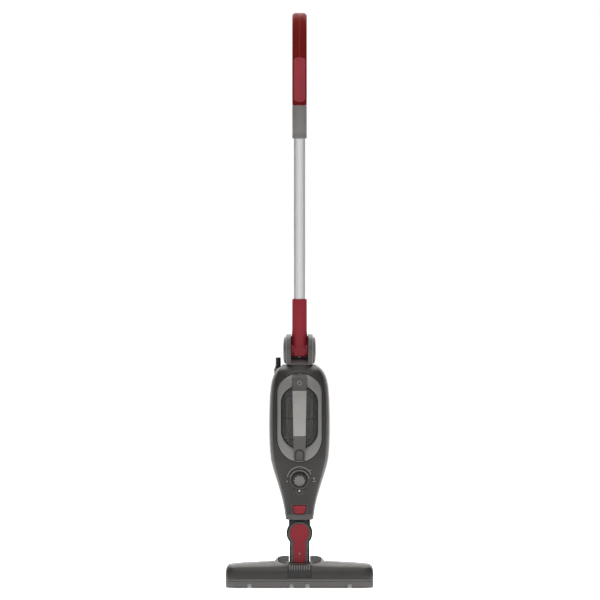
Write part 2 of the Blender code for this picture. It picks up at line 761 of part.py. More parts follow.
def fold_yoke():
    pivot = (0.0, 0.0, FOLD_Z)
    outline = [(-26.5, BODY_TOP + GAP), (26.5, BODY_TOP + GAP)]
    outline += arc((0.0, FOLD_Z), YOKE_RADIUS, -28, 208, 28)
    yoke = prism("fold_yoke", outline, "X", -CHEEK_OUT, CHEEK_OUT, "body_grey", pivot)
    bevel = yoke.modifiers.new("edges", "BEVEL")
    bevel.width = 1.2 * MM
    bevel.segments = 1
    bevel.limit_method = "ANGLE"
    bevel.angle_limit = math.radians(50)
    room = [
        (16.5, 560.0), (16.5, 474.0), (2.0, 474.0), (-27.0, 463.5), (-60.0, 450.0), (-60.0, 560.0),
    ]
    slot = prism("yoke_slot", room, "X", -CHEEK_IN, CHEEK_IN)
    bore = rod("yoke_bore", 4.3, "X", pivot, -60.0, 60.0)
    lock = rod("lock_bore", 6.4, "Y", (0.0, 0.0, 482.0), 10.0, 60.0)
    stud = rod("yoke_stud", 9.0, "Z", (0.0, 0.0, 0.0), 452.0, 468.0)
    join(yoke, stud)
    cut(yoke, slot, bore, lock)
    cap = [(0.0, 0.3), (28.0, 0.3), (28.0, 2.0), (25.5, 4.4), (17.0, 6.0), (0.0, 6.5)]
    for name, side in (("pivot_cap_left", -1), ("pivot_cap_right", 1)):
        profile = [(r, side * (CHEEK_OUT + h)) for r, h in cap]
        turned(name, profile, "X", (0.0, 0.0, FOLD_Z), "body_grey", steps=24)
    rod("fold_pin", 4.0, "X", pivot, -CHEEK_OUT, CHEEK_OUT, "steel")
    lock_profile = [
        (0, 17.2), (4.0, 17.2), (4.0, 24.0), (6.0, 24.0), (6.0, 33.8), (5.2, 34.8), (0, 34.8),
    ]
    turned("fold_lock_button", lock_profile, "Y", (0.0, 0.0, 482.0), "red", steps=20)


def cord_outlet_boot():
    profile = [
        (0.0, 441.0), (4.0, 441.0), (4.0, 453.2), (6.6, 453.2), (6.6, 456.4), (5.5, 458.0),
        (5.2, 475.0), (3.2, 475.0), (3.2, 464.0), (0.0, 464.0),
    ]
    turned("cord_outlet_boot", profile, "Z", (-44.0, 24.0, 0.0), "black", steps=20)


# ---- container ----


def container():
    tub = prism("container_tub", lozenge(BAY, 0.0), "Y", -80.0, 4.0, "clear")
    keep(tub, body_form("tub_face", 2.3))
    hollow = prism("tub_hollow", lozenge(BAY, 2.2), "Y", -80.0, 10.0)
    keep(hollow, body_form("tub_inner_face", 4.5))
    cut(tub, hollow)
    bezel = skin("window_bezel", lozenge(BAY, 0.0), -0.4, 2.0, "ring_grey")
    cut(bezel, prism("pane_cut", lozenge(PANE, 0.0), "Y", -90.0, 10.0))
    lid = prism("container_lid", lozenge(BAY, 0.2), "Y", 4.3, 7.0, "black")
    cut(lid, rod("lid_inlet", 8.0, "Y", (0.0, 0.0, 296.0), 0.0, 20.0, steps=16))
    gasket = prism("lid_gasket", lozenge(BAY, 4.0), "Y", 7.0 + GAP, 8.7, "rubber")
    cut(gasket, prism("gasket_hole", lozenge(BAY, 7.0), "Y", 0.0, 20.0))
    frame_outline = rounded(27.0, 42.0, 8.0, (0.0, 352.0))
    frame = prism("filter_frame", frame_outline, "Y", -30.0, 4.0, "ring_grey")
    cut(frame, prism("filter_space", rounded(24.5, 39.5, 1.5, (0.0, 352.0)), "Y", -40.0, 0.0))
    cut(frame, rod("frame_outlet", 15.0, "Y", (0.0, 0.0, 352.0), -10.0, 20.0))
    half_width, high, low = 23.6, 390.6, 313.4
    outline = [(half_width, -1.0), (-half_width, -1.0)]
    for index in range(17):
        x = half_width * (index / 8 - 1)
        outline.append((x, -28.0 if index % 2 else -4.5))
    prism("filter_element", outline, "Z", low, high, "white_pad")


def strap_half_width(z):
    """The strap is widest at the top and narrows steadily to its foot."""
    return 11.8 + (z - 262.0) * (15.8 - 11.8) / (444.0 - 262.0)


def strap_path():
    """The strap's outer face in the YZ plane, from its top end down to its foot."""
    stops = [
        (body_depth(0.0, 443.0) - 1.5, 443.0), (-55.0, 434.0), (-66.5, 421.0), (-74.0, 404.0),
        (-77.0, 380.0), (-77.0, 345.0), (-75.0, 316.0), (-70.0, 305.0), (-67.5, 292.0),
        (-65.0, 276.0), (body_depth(0.0, 263.0) - 3.0, 263.0),
    ]
    return stops


def strap():
    """A bridge over the pane that stands on the bezel at both ends."""
    outer = strap_path()
    inner = []
    for y, z in outer:
        bridge = 434.0 > z > 296.0
        surface = body_depth(0.0, z) - 0.4 - GAP
        inner.append((min(y + 5.5, surface) if bridge else surface, z))
    rings = []
    for (y_out, z), (y_in, _) in zip(outer, inner):
        half = strap_half_width(z)
        y_edge = y_out + min(1.6, (y_in - y_out) / 2)
        rings.append(
            [
                (-half, y_in, z), (-half, y_edge, z), (-half + 2.2, y_out, z),
                (half - 2.2, y_out, z), (half, y_edge, z), (half, y_in, z),
            ]
        )
    piece = loft("strap_handle", rings, "strap_grey")
    pill = lozenge((8.3, 286.6, 278.3, 272.3, 264.4), 0.0, 6)
    cut(piece, prism("button_well", pill, "Y", -90.0, -57.6))
    key = prism("container_release_button", lozenge((7.9, 286.2, 278.3, 272.3, 264.8), 0.0, 6),
                "Y", -90.0, -61.2, "strap_grey", (0.0, 0.0, 275.5))
    face = prism("button_face", [(-67.2, 262.0), (-65.5, 290.0), (-50.0, 290.0), (-50.0, 262.0)],
                 "X", -20.0, 20.0)
    keep(key, face)


# ---- handle ----


def tube_socket():
    pivot = (0.0, 0.0, FOLD_Z)
    sleeve = rounded(SLEEVE_RADIUS, SLEEVE_RADIUS, SLEEVE_RADIUS - 0.2, steps=6)
    rings = [
        level(rounded(17.4, 13.0, 12.0, steps=6), FOLD_Z),
        level(rounded(17.2, 14.0, 13.0, steps=6), 508.0),
        level(sleeve, 532.0),
        level(sleeve, SOCKET_TOP),
    ]
    socket = loft("tube_socket", rings, "red", pivot)
    barrel = rod("socket_barrel", BARREL_RADIUS, "X", pivot, -17.4, 17.4, steps=28)
    join(socket, barrel)
    bore = rod("socket_bore", TUBE_RADIUS + GAP, "Z", (0.0, 0.0, 0.0), 515.0, 640.0)
    pin_bore = rod("socket_pin_bore", 4.3, "X", pivot, -40.0, 40.0)
    snap = rod("snap_hole", 4.3, "Y", (0.0, 0.0, 580.0), 5.0, 40.0, steps=16)
    return cut(socket, bore, pin_bore, snap)


def handle_tube():
    outer, inner = TUBE_RADIUS, TUBE_RADIUS - 1.2
    profile = [(inner, 515.5), (outer, 515.5), (outer, 1001.5), (inner, 1001.5)]
    tube = turned("handle_tube", profile, "Z", (0.0, 0.0, 0.0), "aluminium", origin=(0, 0, FOLD_Z))
    cut(tube, rod("tube_snap_hole", 4.3, "Y", (0.0, 0.0, 580.0), 5.0, 40.0, steps=16))
    button = [(0, 8.0), (3.8, 8.0), (3.8, 15.8), (3.0, 16.6), (0, 16.9)]
    turned("tube_snap_button", button, "Y", (0.0, 0.0, 580.0), "steel", steps=16)
    bore = TUBE_RADIUS + GAP
    collar = [
        (bore, COLLAR_LOW), (14.2, COLLAR_LOW), (15.1, COLLAR_LOW + 1.2), (15.1, COLLAR_TOP - GAP),
        (bore, COLLAR_TOP - GAP),
    ]
    piece = turned("grip_collar", collar, "Z", (0.0, 0.0, 0.0), "ring_grey", 28, (0, 0, FOLD_Z))
    hole = rod("collar_screw_hole", 2.1, "Y", (0.0, 0.0, 962.0), 5.0, 40.0, steps=12)
    cut(piece, hole)
    rod("collar_screw", 1.8, "Y", (0.0, 0.0, 962.0), 12.6, 15.3, "steel", steps=12)


def grip_body(name):
    """The closed grip loop: pairs of places in the YZ plane on its outer and inner face."""
    pairs = [
        (-12, 1052, 12, 1056), (-12, 1098, 12, 1098), (-8, 1130, 15, 1126), (0, 1158, 21, 1148),
        (12, 1177, 30, 1159), (30, 1187.5, 38, 1163), (50, 1187.5, 46, 1162), (68, 1178, 52, 1155),
        (77, 1158, 54, 1142), (78, 1130, 53, 1120), (72, 1085, 48, 1092), (60, 1045, 38, 1068),
        (40, 1012, 27, 1049), (12, 1001, 19, 1041), (-8, 1010, 13, 1044),
    ]
    outer = smooth_path([(0, y, z) for y, z, _, _ in pairs + pairs[:1]], 2)[:-1]
    inner = smooth_path([(0, y, z) for _, _, y, z in pairs + pairs[:1]], 2)[:-1]
    rings = []
    for out, into in zip(outer, inner):
        middle, reach = (out + into) / 2, (out - into) / 2
        section = rounded(GRIP_HALF_WIDTH, reach.length, 7.0, steps=2)
        way = reach.normalized()
        rings.append([middle + Vector((x, 0.0, 0.0)) + way * h for x, h in section])
    body = hoop(name, rings, "red", (0, 0, FOLD_Z))
    ring = arc((0.0, 0.0), 15.0, 0, 345, 23)
    shrink = [(x * 0.94, y * 0.72) for x, y in ring]
    stem = loft(name + "_stem", [level(ring, COLLAR_TOP), level(ring, 1006.0), level(shrink, 1040.0)])
    return join(body, stem)


def grip():
    inlay = lozenge((12.0, 1097.5, 1092.0, 1014.0, 1003.0), 0.0, 6)
    seat = lozenge((12.0, 1097.5, 1092.0, 1014.0, 1003.0), -GAP, 6)
    for name, low, high in (("grip_left", -40.0, -GAP / 2), ("grip_right", GAP / 2, 40.0)):
        half = grip_body(name)
        cut(half, rod(name + "_bore", TUBE_RADIUS + GAP, "Z", (0, 0, 0), 980.0, 1002.3))
        cut(half, prism(name + "_seat", seat, "Y", -40.0, -10.6))
        keep(half, block(name + "_side", (low, high), (-60.0, 120.0), (900.0, 1300.0)))
    prism("grip_inlay", inlay, "Y", -13.2, -10.6 - GAP, "red", (0, 0, FOLD_Z))


def build():
    clear_scene()
    head_cover()
    head_skirt()
    head_base()
    head_underside()
    tread_insert()
    drum_cradle()
    neck_frame()
    spigot()
    rear = shells()
    bay_and_screws(rear)
    dial_parts()
    release_button()
    motor_parts()
    exhaust_parts()
    fold_yoke()
    cord_outlet_boot()
    container()
    strap()
    tube_socket()
    handle_tube()
    grip()


build()
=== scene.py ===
import json
import math

import bmesh
import bpy
from mathutils import Matrix, Vector


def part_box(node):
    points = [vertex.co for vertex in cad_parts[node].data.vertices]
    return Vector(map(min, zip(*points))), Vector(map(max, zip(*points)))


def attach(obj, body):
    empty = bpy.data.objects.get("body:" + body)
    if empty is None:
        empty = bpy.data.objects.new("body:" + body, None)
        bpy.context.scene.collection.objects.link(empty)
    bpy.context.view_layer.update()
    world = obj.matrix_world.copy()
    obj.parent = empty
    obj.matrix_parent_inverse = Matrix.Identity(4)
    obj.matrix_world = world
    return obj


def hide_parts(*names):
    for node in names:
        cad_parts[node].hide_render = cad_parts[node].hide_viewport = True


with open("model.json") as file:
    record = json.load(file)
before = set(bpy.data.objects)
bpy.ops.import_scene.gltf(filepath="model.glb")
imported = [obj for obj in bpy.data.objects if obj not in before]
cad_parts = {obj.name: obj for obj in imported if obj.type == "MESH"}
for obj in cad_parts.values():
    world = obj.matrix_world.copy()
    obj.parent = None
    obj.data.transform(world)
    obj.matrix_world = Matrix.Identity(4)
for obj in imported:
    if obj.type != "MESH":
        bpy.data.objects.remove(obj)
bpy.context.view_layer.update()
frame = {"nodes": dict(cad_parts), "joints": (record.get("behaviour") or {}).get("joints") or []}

mm = 0.001  # sizes below are millimetres, in the frame's own axes


def extent(node):
    low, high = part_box(node)
    return low / mm, high / mm


# Meshes

def newPiece(name, points, faces, material=None, crease=40.0):
    mesh = bpy.data.meshes.new(name)
    mesh.from_pydata([Vector(point) * mm for point in points], [], faces)
    work = bmesh.new()
    work.from_mesh(mesh)
    bmesh.ops.remove_doubles(work, verts=work.verts, dist=1e-6)
    loose = [edge for edge in work.edges if not edge.link_faces]
    bmesh.ops.delete(work, geom=loose, context="EDGES")
    bmesh.ops.recalc_face_normals(work, faces=work.faces)
    work.to_mesh(mesh)
    work.free()
    piece = bpy.data.objects.new(name, mesh)
    bpy.context.scene.collection.objects.link(piece)
    if material:
        mesh.materials.append(material)
    return smoothed(piece, crease)


def smoothed(piece, crease=40.0):
    piece.data.shade_smooth()
    piece.data.set_sharp_from_angle(angle=math.radians(crease))
    return piece


def settled(piece, crease=40.0):
    # the modifiers' result becomes the piece's own mesh
    graph = bpy.context.evaluated_depsgraph_get()
    mesh = bpy.data.meshes.new_from_object(piece.evaluated_get(graph))
    piece.modifiers.clear()
    piece.data = mesh
    return smoothed(piece, crease)


def shape(piece, *steps, solver="EXACT", crease=40.0):
    # each step is (operation, tool); the tools are used up
    for operation, tool in steps:
        modifier = piece.modifiers.new(tool.name, "BOOLEAN")
        modifier.operation = operation
        modifier.solver = solver
        modifier.object = tool
    settled(piece, crease)
    for _, tool in steps:
        bpy.data.objects.remove(tool, do_unlink=True)
    return piece


def minus(*tools):
    return [("DIFFERENCE", tool) for tool in tools]


def plus(*tools):
    return [("UNION", tool) for tool in tools]


def inside(tool):
    return [("INTERSECT", tool)]


def repaint(piece, material, where):
    # another finish on the faces whose centre and normal pass the test, in millimetres
    piece.data.materials.append(material)
    slot = len(piece.data.materials) - 1
    for face in piece.data.polygons:
        if where(face.center / mm, face.normal):
            face.material_index = slot
    return piece


def together(name, pieces, crease=40.0):
    # several closed solids of one moulding, kept in one mesh
    work, used = bmesh.new(), []
    for piece in pieces:
        before = len(work.faces)
        work.from_mesh(piece.data)
        work.faces.ensure_lookup_table()
        own = list(piece.data.materials)
        used += [material for material in own if material not in used]
        for face in work.faces[before:]:
            face.material_index = used.index(own[min(face.material_index, len(own) - 1)])
    mesh = bpy.data.meshes.new(name)
    work.to_mesh(mesh)
    work.free()
    for material in used:
        mesh.materials.append(material)
    for piece in pieces:
        bpy.data.objects.remove(piece, do_unlink=True)
    joined = bpy.data.objects.new(name, mesh)
    bpy.context.scene.collection.objects.link(joined)
    return smoothed(joined, crease)


def loft(name, rings, material=None, closed=False, crease=40.0):
    count = len(rings[0])
    points = [point for ring in rings for point in ring]
    faces = []
    last = len(rings) if closed else len(rings) - 1
    for index in range(last):
        first, second = index * count, (index + 1) % len(rings) * count
        for i in range(count):
            k = (i + 1) % count
            faces.append((first + i, first + k, second + k, second + i))
    if not closed:
        faces.append(tuple(range(count)))
        faces.append(tuple(range((len(rings) - 1) * count, len(rings) * count)))
    return newPiece(name, points, faces, material, crease)


def place(across, along, height, axis):
    if axis == "X":
        return Vector((height, across, along))
    if axis == "Y":
        return Vector((across, height, along))
    return Vector((across, along, height))


def prism(name, outline, axis, low, high, material=None):
    rings = [[place(u, v, end, axis) for u, v in outline] for end in (low, high)]
    return loft(name, rings, material)


def turned(name, profile, axis, centre=(0, 0, 0), material=None, steps=72, crease=40.0):
    rings = []
    for turn in circle(steps):
        across, along = math.cos(turn), math.sin(turn)
        rings.append([place(r * across, r * along, h, axis) + Vector(centre) for r, h in profile])
    return loft(name, rings, material, True, crease)


def rod(name, radius, axis, centre, low, high, material=None, steps=48, edge=0.0):
    profile = [(0.0, low), (radius - edge, low), (radius, low + edge)]
    profile += [(radius, high - edge), (radius - edge, high), (0.0, high)]
    return turned(name, profile, axis, centre, material, steps)


def block(name, x, y, z, material=None):
    outline = [(x[0], y[0]), (x[1], y[0]), (x[1], y[1]), (x[0], y[1])]
    return prism(name, outline, "Z", z[0], z[1], material)


def circle(count):
    return [2 * math.pi * k / count for k in range(count)]


def rounding(edge, steps=5):
    # ways in and down along a quarter round, from the side up to the face
    turns = [math.pi / 2 * k / steps for k in range(steps + 1)]
    return [(edge * (1 - math.cos(turn)), edge * (1 - math.sin(turn))) for turn in turns]


def arc(centre, radius, start, end, steps):
    turns = [math.radians(start + (end - start) * i / steps) for i in range(steps + 1)]
    return [(centre[0] + radius * math.cos(a), centre[1] + radius * math.sin(a)) for a in turns]


def roundRect(halfWidth, halfDepth, corner, centre=(0.0, 0.0), steps=10):
    points = []
    for index, (side, end) in enumerate(((1, 1), (-1, 1), (-1, -1), (1, -1))):
        middle = (centre[0] + side * (halfWidth - corner), centre[1] + end * (halfDepth - corner))
        points += arc(middle, corner, 90 * index, 90 * index + 90, steps)
    return points


def level(outline, z):
    return [(x, y, z) for x, y in outline]


def oval(halfWidth, front, rear, z, steps=96):
    return [
        (halfWidth * math.cos(turn), math.sin(turn) * (rear if math.sin(turn) > 0 else front), z)
        for turn in circle(steps)
    ]


def smoothRows(rows, steps, closed=False):
    # rows of numbers on one smooth curve through the given rows
    rows = [list(row) for row in rows]
    count = len(rows)
    made = []
    for i in range(count if closed else count - 1):
        if closed:
            four = [rows[(i + k) % count] for k in (-1, 0, 1, 2)]
        else:
            four = [rows[min(max(i + k, 0), count - 1)] for k in (-1, 0, 1, 2)]
        for k in range(steps):
            t = k / steps
            made.append([
                0.5 * (2 * b + (c - a) * t + (2 * a - 5 * b + 4 * c - d) * t * t
                       + (3 * b - a - 3 * c + d) * t ** 3)
                for a, b, c, d in zip(*four)
            ])
    return made if closed else made + [rows[-1]]


def softCorners(outline):
    # each corner is cut back by quarters three times, which rounds it
    for _ in range(3):
        cut = []
        for here, there in zip(outline, outline[1:] + outline[:1]):
            cut += [tuple(a + (b - a) * share for a, b in zip(here, there)) for share in (0.25, 0.75)]
        outline = cut
    return outline


def raised(name, outlineAt, axis, back, face, edge, material=None, steps=5, inner=0.0):
    # a plate whose face has a rounded rim; outlineAt(inset) gives its outline
    side = 1 if face > back else -1
    rows = [(0.0, back)] + [(inset, face - side * drop) for inset, drop in rounding(edge, steps)]
    if inner:
        rows += [(edge + (inner - edge) * k / 6, face) for k in range(1, 7)]
    rings = [[place(u, v, height, axis) for u, v in outlineAt(inset)] for inset, height in rows]
    return loft(name, rings, material)


def tubeAlong(name, path, radius, material, around=8, closed=True):
    rings = []
    count = len(path)
    for i, point in enumerate(path):
        before = path[i - 1] if i or closed else point
        after = path[(i + 1) % count] if i + 1 < count or closed else point
        along = (Vector(after) - Vector(before)).normalized()
        out = Vector((0.0, -1.0, 0.0))
        out = (out - along * along.dot(out)).normalized()
        across = along.cross(out)
        rings.append([
            Vector(point) + (out * math.sin(a) + across * math.cos(a)) * radius for a in circle(around)
        ])
    return loft(name, rings, material, closed, 80.0)


# Geometry Nodes for what repeats

def newTree(name, sockets):
    tree = bpy.data.node_groups.new(name, "GeometryNodeTree")
    tree.is_modifier = True
    for label, kind, value in [("Item", "Geometry", None)] + sockets:
        socket = tree.interface.new_socket(label, in_out="INPUT", socket_type="NodeSocket" + kind)
        if value is not None:
            socket.default_value = value
    tree.interface.new_socket("Result", in_out="OUTPUT", socket_type="NodeSocketGeometry")
    return tree, tree.nodes.new("NodeGroupInput"), tree.nodes.new("NodeGroupOutput")


def wire(tree, *links):
    # each link is (node, output, node, input)
    for source, output, target, entry in links:
        tree.links.new(source.outputs[output], target.inputs[entry])


def endTree(tree, end, copies, material):
    real = tree.nodes.new("GeometryNodeRealizeInstances")
    finish = tree.nodes.new("GeometryNodeSetMaterial")
    finish.inputs["Material"].default_value = material
    wire(tree, (copies, "Instances", real, "Geometry"), (real, "Geometry", finish, "Geometry"),
         (finish, "Geometry", end, "Result"))
    return tree


def useTree(piece, tree, values, crease=40.0):
    modifier = piece.modifiers.new(tree.name, "NODES")
    modifier.node_group = tree
    for item in tree.interface.items_tree:
        if item.in_out == "INPUT" and item.name in values:
            modifier[item.identifier] = values[item.name]
    piece.update_tag()
    return settled(piece, crease)


def rowTree(name, material):
    # copies of the item on a row, or on rows of rows, each a little leant and shortened
    tree, start, end = newTree(name, [
        ("Count", "Int", 5), ("Start", "Vector", (0, 0, 0)), ("Step", "Vector", (0, 0, 0)),
        ("Rows", "Int", 1), ("Row Step", "Vector", (0, 0, 0)), ("Lean", "Vector", (0, 0, 0)),
        ("Shortest", "Float", 1.0), ("Seed", "Int", 3),
    ])
    row, rows = (tree.nodes.new("GeometryNodeMeshLine") for _ in range(2))
    spread, copies = (tree.nodes.new("GeometryNodeInstanceOnPoints") for _ in range(2))
    spreadReal = tree.nodes.new("GeometryNodeRealizeInstances")
    lean, size = (tree.nodes.new("FunctionNodeRandomValue") for _ in range(2))
    lean.data_type, size.data_type = "FLOAT_VECTOR", "FLOAT"
    flip = tree.nodes.new("ShaderNodeVectorMath")
    flip.operation = "SCALE"
    flip.inputs["Scale"].default_value = -1.0
    wire(
        tree,
        (start, "Count", row, "Count"), (start, "Start", row, "Start Location"),
        (start, "Step", row, "Offset"), (start, "Rows", rows, "Count"), (start, "Row Step", rows, "Offset"),
        (rows, "Mesh", spread, "Points"), (row, "Mesh", spread, "Instance"),
        (spread, "Instances", spreadReal, "Geometry"), (spreadReal, "Geometry", copies, "Points"),
        (start, "Item", copies, "Instance"), (start, "Lean", flip, 0), (flip, "Vector", lean, 0),
        (start, "Lean", lean, 1), (start, "Shortest", size, 2), (start, "Seed", lean, "Seed"),
        (start, "Seed", size, "Seed"), (lean, "Value", copies, "Rotation"), (size, 1, copies, "Scale"),
    )
    return endTree(tree, end, copies, material)


def fillRow(item, name, material, count, step, crease, **more):
    # the item again and again along a row, centred unless a start is given
    values = {"Count": count, "Start": tiny([-way * (count - 1) / 2 for way in step]), "Step": tiny(step)}
    return useTree(item, rowTree(name, material), values | more, crease)


def pointsTree(name, material):
    # the item stands at every vertex of the holder, turned by chance about one axis
    tree, start, end = newTree(name, [
        ("Piece", "Object", None), ("Turn", "Vector", (0, 0, 0)), ("Seed", "Int", 5),
    ])
    item, chance = tree.nodes.new("GeometryNodeObjectInfo"), tree.nodes.new("FunctionNodeRandomValue")
    copies = tree.nodes.new("GeometryNodeInstanceOnPoints")
    chance.data_type = "FLOAT_VECTOR"
    chance.inputs[0].default_value = (0, 0, 0)
    wire(
        tree,
        (start, "Piece", item, "Object"), (start, "Turn", chance, 1), (start, "Seed", chance, "Seed"),
        (start, "Item", copies, "Points"), (item, "Geometry", copies, "Instance"),
        (chance, "Value", copies, "Rotation"),
    )
    return endTree(tree, end, copies, material)


def tiny(vector):
    return tuple(value * mm for value in vector)


def mount(piece, body, slot, *nodes):
    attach(piece, body)
    if nodes:
        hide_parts(*nodes)
    return piece


# Materials: linear colour, roughness, grain size, bump height and cloud size in mm, then metal and gloss

finishes = {
    "headGrey": ((0.069, 0.064, 0.059), 0.4, 0.7, 0.05, 45, 0.55),
    "bodyGrey": ((0.058, 0.053, 0.05), 0.38, 0.6, 0.03, 60, 0.6),
    # rearGrey is painted lighter than bodyGrey, a painted reflection of the bright sides on the rear shell's
    # side band
    "rearGrey": ((0.133, 0.125, 0.118), 0.38, 0.6, 0.03, 60, 0.5),
    "plateGrey": ((0.113, 0.108, 0.102), 0.4, 0.5, 0.02, 25, 0.4),
    "black": ((0.014, 0.014, 0.014), 0.42, 0.5, 0.03, 30),
    "red": ((0.304, 0.022, 0.034), 0.34, 0.5, 0.02, 35, 0.0, 0.25),
    "gripRed": ((0.157, 0.004, 0.002), 0.5, 0.4, 0.05, 40, 0.0, 0.12),
    # the inlay's paler red is partly a painted reflection on the grip's lower front
    "inlayRed": ((0.304, 0.031, 0.045), 0.55, 0.5, 0.06, 30, 0.0, 0.25),
    "collarGrey": ((0.203, 0.194, 0.187), 0.4, 0.5, 0.02, 30),
    "ringGrey": ((0.293, 0.289, 0.281), 0.34, 0.5, 0.02, 30, 0.5),
    "strapGrey": ((0.396, 0.384, 0.366), 0.36, 0.5, 0.02, 30, 0.5),
    # the strap's painted shade, for its top end and side faces
    "strapPaintedShade": ((0.081, 0.077, 0.073), 0.38, 0.5, 0.02, 30, 0.5),
    "skirtGrey": ((0.18, 0.171, 0.164), 0.4, 0.6, 0.03, 45, 0.4),
    "knobGrey": ((0.194, 0.188, 0.181), 0.32, 0.4, 0.02, 15, 0.4),
    "markGrey": ((0.42, 0.41, 0.395), 0.45, 0.3, 0.01, 12),
    "lamp": ((0.7, 0.69, 0.65), 0.18, 0.3, 0.01, 6),
    "frameGrey": ((0.48, 0.478, 0.47), 0.45, 0.6, 0.03, 25),
    "paleRubber": ((0.88, 0.88, 0.86), 0.65, 0.9, 0.06, 20),
    "treadGrey": ((0.035, 0.033, 0.032), 0.6, 0.8, 0.06, 20),
    # the ribs' lighter grey is painted highlight on their tops
    "ribHighlightGrey": ((0.21, 0.205, 0.198), 0.5, 0.6, 0.04, 20),
    "rubber": ((0.02, 0.02, 0.019), 0.72, 0.9, 0.08, 20),
    "bristle": ((0.045, 0.045, 0.044), 0.55, 0.3, 0.03, 6),
    "tape": ((0.016, 0.016, 0.016), 0.9, 0.8, 0.25, 15),
    "board": ((0.012, 0.09, 0.035), 0.45, 1.2, 0.03, 8),
}


def newMaterial(name):
    material = bpy.data.materials.new(name)
    material.use_nodes = True
    tree = material.node_tree
    spot = tree.nodes.new("ShaderNodeTexCoord").outputs["Object"]
    return material, tree, tree.nodes["Principled BSDF"], spot


def noise(tree, source, size, detail=2.0):
    # size is the width of one feature in millimetres
    node = tree.nodes.new("ShaderNodeTexNoise")
    node.inputs["Scale"].default_value = 1.0 / (size * mm)
    node.inputs["Detail"].default_value = detail
    tree.links.new(source, node.inputs["Vector"])
    return node.outputs["Fac"]


def between(tree, factor, entry, low, high, start=0.3, end=0.7):
    # the entry runs from low to high as the factor runs from start to end
    node = tree.nodes.new("ShaderNodeMapRange")
    for socket, value in zip(node.inputs[1:5], (start, end, low, high)):
        socket.default_value = value
    tree.links.new(factor, node.inputs["Value"])
    tree.links.new(node.outputs["Result"], entry)


def tones(tree, shader, factor, first, second):
    # the shader's colour, between two tones
    node = tree.nodes.new("ShaderNodeMix")
    node.data_type = "RGBA"
    node.inputs[6].default_value = (*first, 1.0)
    node.inputs[7].default_value = (*second, 1.0)
    tree.links.new(factor, node.inputs[0])
    tree.links.new(node.outputs[2], shader.inputs["Base Color"])


def bump(tree, shader, height, depth, strength=1.0):
    node = tree.nodes.new("ShaderNodeBump")
    node.inputs["Strength"].default_value = strength
    node.inputs["Distance"].default_value = depth * mm
    tree.links.new(height, node.inputs["Height"])
    tree.links.new(node.outputs["Normal"], shader.inputs["Normal"])
    return node


def shade(colour, amount):
    return tuple(min(value * amount, 1.0) for value in colour)


def moulded(name, colour, rough, grain, depth, cloud, metal=0.0, gloss=0.5):
    material, tree, shader, spot = newMaterial(name)
    tones(tree, shader, noise(tree, spot, cloud, 3.0), shade(colour, 0.88), shade(colour, 1.12))
    between(tree, noise(tree, spot, cloud / 4), shader.inputs["Roughness"], rough - 0.05, rough + 0.06)
    bump(tree, shader, noise(tree, spot, grain, 3.0), depth, 0.7)
    shader.inputs["Metallic"].default_value = metal
    shader.inputs["Specular IOR Level"].default_value = gloss
    return material


def hatched(name, look, pitch):
    # a moulded finish with fine crossing lines, as a woven print
    colour, rough, _, _, cloud, metal = look
    material, tree, shader, spot = newMaterial(name)
    weave = tree.nodes.new("ShaderNodeMath")
    weave.operation = "MULTIPLY"
    for index, turn in enumerate((45.0, -45.0)):
        mapping = tree.nodes.new("ShaderNodeMapping")
        mapping.inputs["Rotation"].default_value = (0.0, math.radians(turn), 0.0)
        wave = tree.nodes.new("ShaderNodeTexWave")
        wave.inputs["Scale"].default_value = 0.314 / (pitch * mm)  # a wave is 0.314 wide at scale 1
        tree.links.new(spot, mapping.inputs["Vector"])
        tree.links.new(mapping.outputs["Vector"], wave.inputs["Vector"])
        tree.links.new(wave.outputs["Fac"], weave.inputs[index])
    tones(tree, shader, weave.outputs[0], shade(colour, 0.80), shade(colour, 1.18))
    between(tree, noise(tree, spot, cloud), shader.inputs["Roughness"], rough - 0.05, rough + 0.08)
    bump(tree, shader, weave.outputs[0], 0.12, 0.8)
    shader.inputs["Metallic"].default_value = metal
    return material


def brushedMetal(name, colour, rough, grain, length):
    # fine scratches that run along Z
    material, tree, shader, spot = newMaterial(name)
    mapping = tree.nodes.new("ShaderNodeMapping")
    mapping.inputs["Scale"].default_value = (1.0, 1.0, grain / length)
    tree.links.new(spot, mapping.inputs["Vector"])
    scratches = noise(tree, mapping.outputs["Vector"], grain, 4.0)
    tones(tree, shader, scratches, shade(colour, 0.9), shade(colour, 1.06))
    between(tree, scratches, shader.inputs["Roughness"], rough - 0.06, rough + 0.1)
    shader.inputs["Metallic"].default_value = 1.0
    bump(tree, shader, scratches, 0.01, 0.5)
    return material


def smokedClear(name):
    material, tree, shader, spot = newMaterial(name)
    film = noise(tree, spot, 18, 3.0)
    between(tree, film, shader.inputs["Roughness"], 0.05, 0.13)
    tones(tree, shader, film, (0.075, 0.075, 0.073), (0.105, 0.105, 0.102))
    shader.inputs["Alpha"].default_value = 0.42
    shader.inputs["Coat Weight"].default_value = 0.3
    bump(tree, shader, noise(tree, spot, 30, 1.0), 0.05, 0.4)
    return material


def looped(name, colour, pitch, depth):
    # short cut pile or cloth loops
    material, tree, shader, spot = newMaterial(name)
    cells = tree.nodes.new("ShaderNodeTexVoronoi")
    cells.inputs["Scale"].default_value = 1.0 / (pitch * mm)
    tree.links.new(spot, cells.inputs["Vector"])
    # painted shade: the colour darkens towards each cell's edge, in the hollows between the loops
    tones(tree, shader, cells.outputs["Distance"], shade(colour, 1.1), shade(colour, 0.62))
    between(tree, noise(tree, spot, 12), shader.inputs["Roughness"], 0.82, 0.96)
    shader.inputs["Sheen Weight"].default_value = 0.35
    bump(tree, shader, cells.outputs["Distance"], depth, 0.9).invert = True
    return material


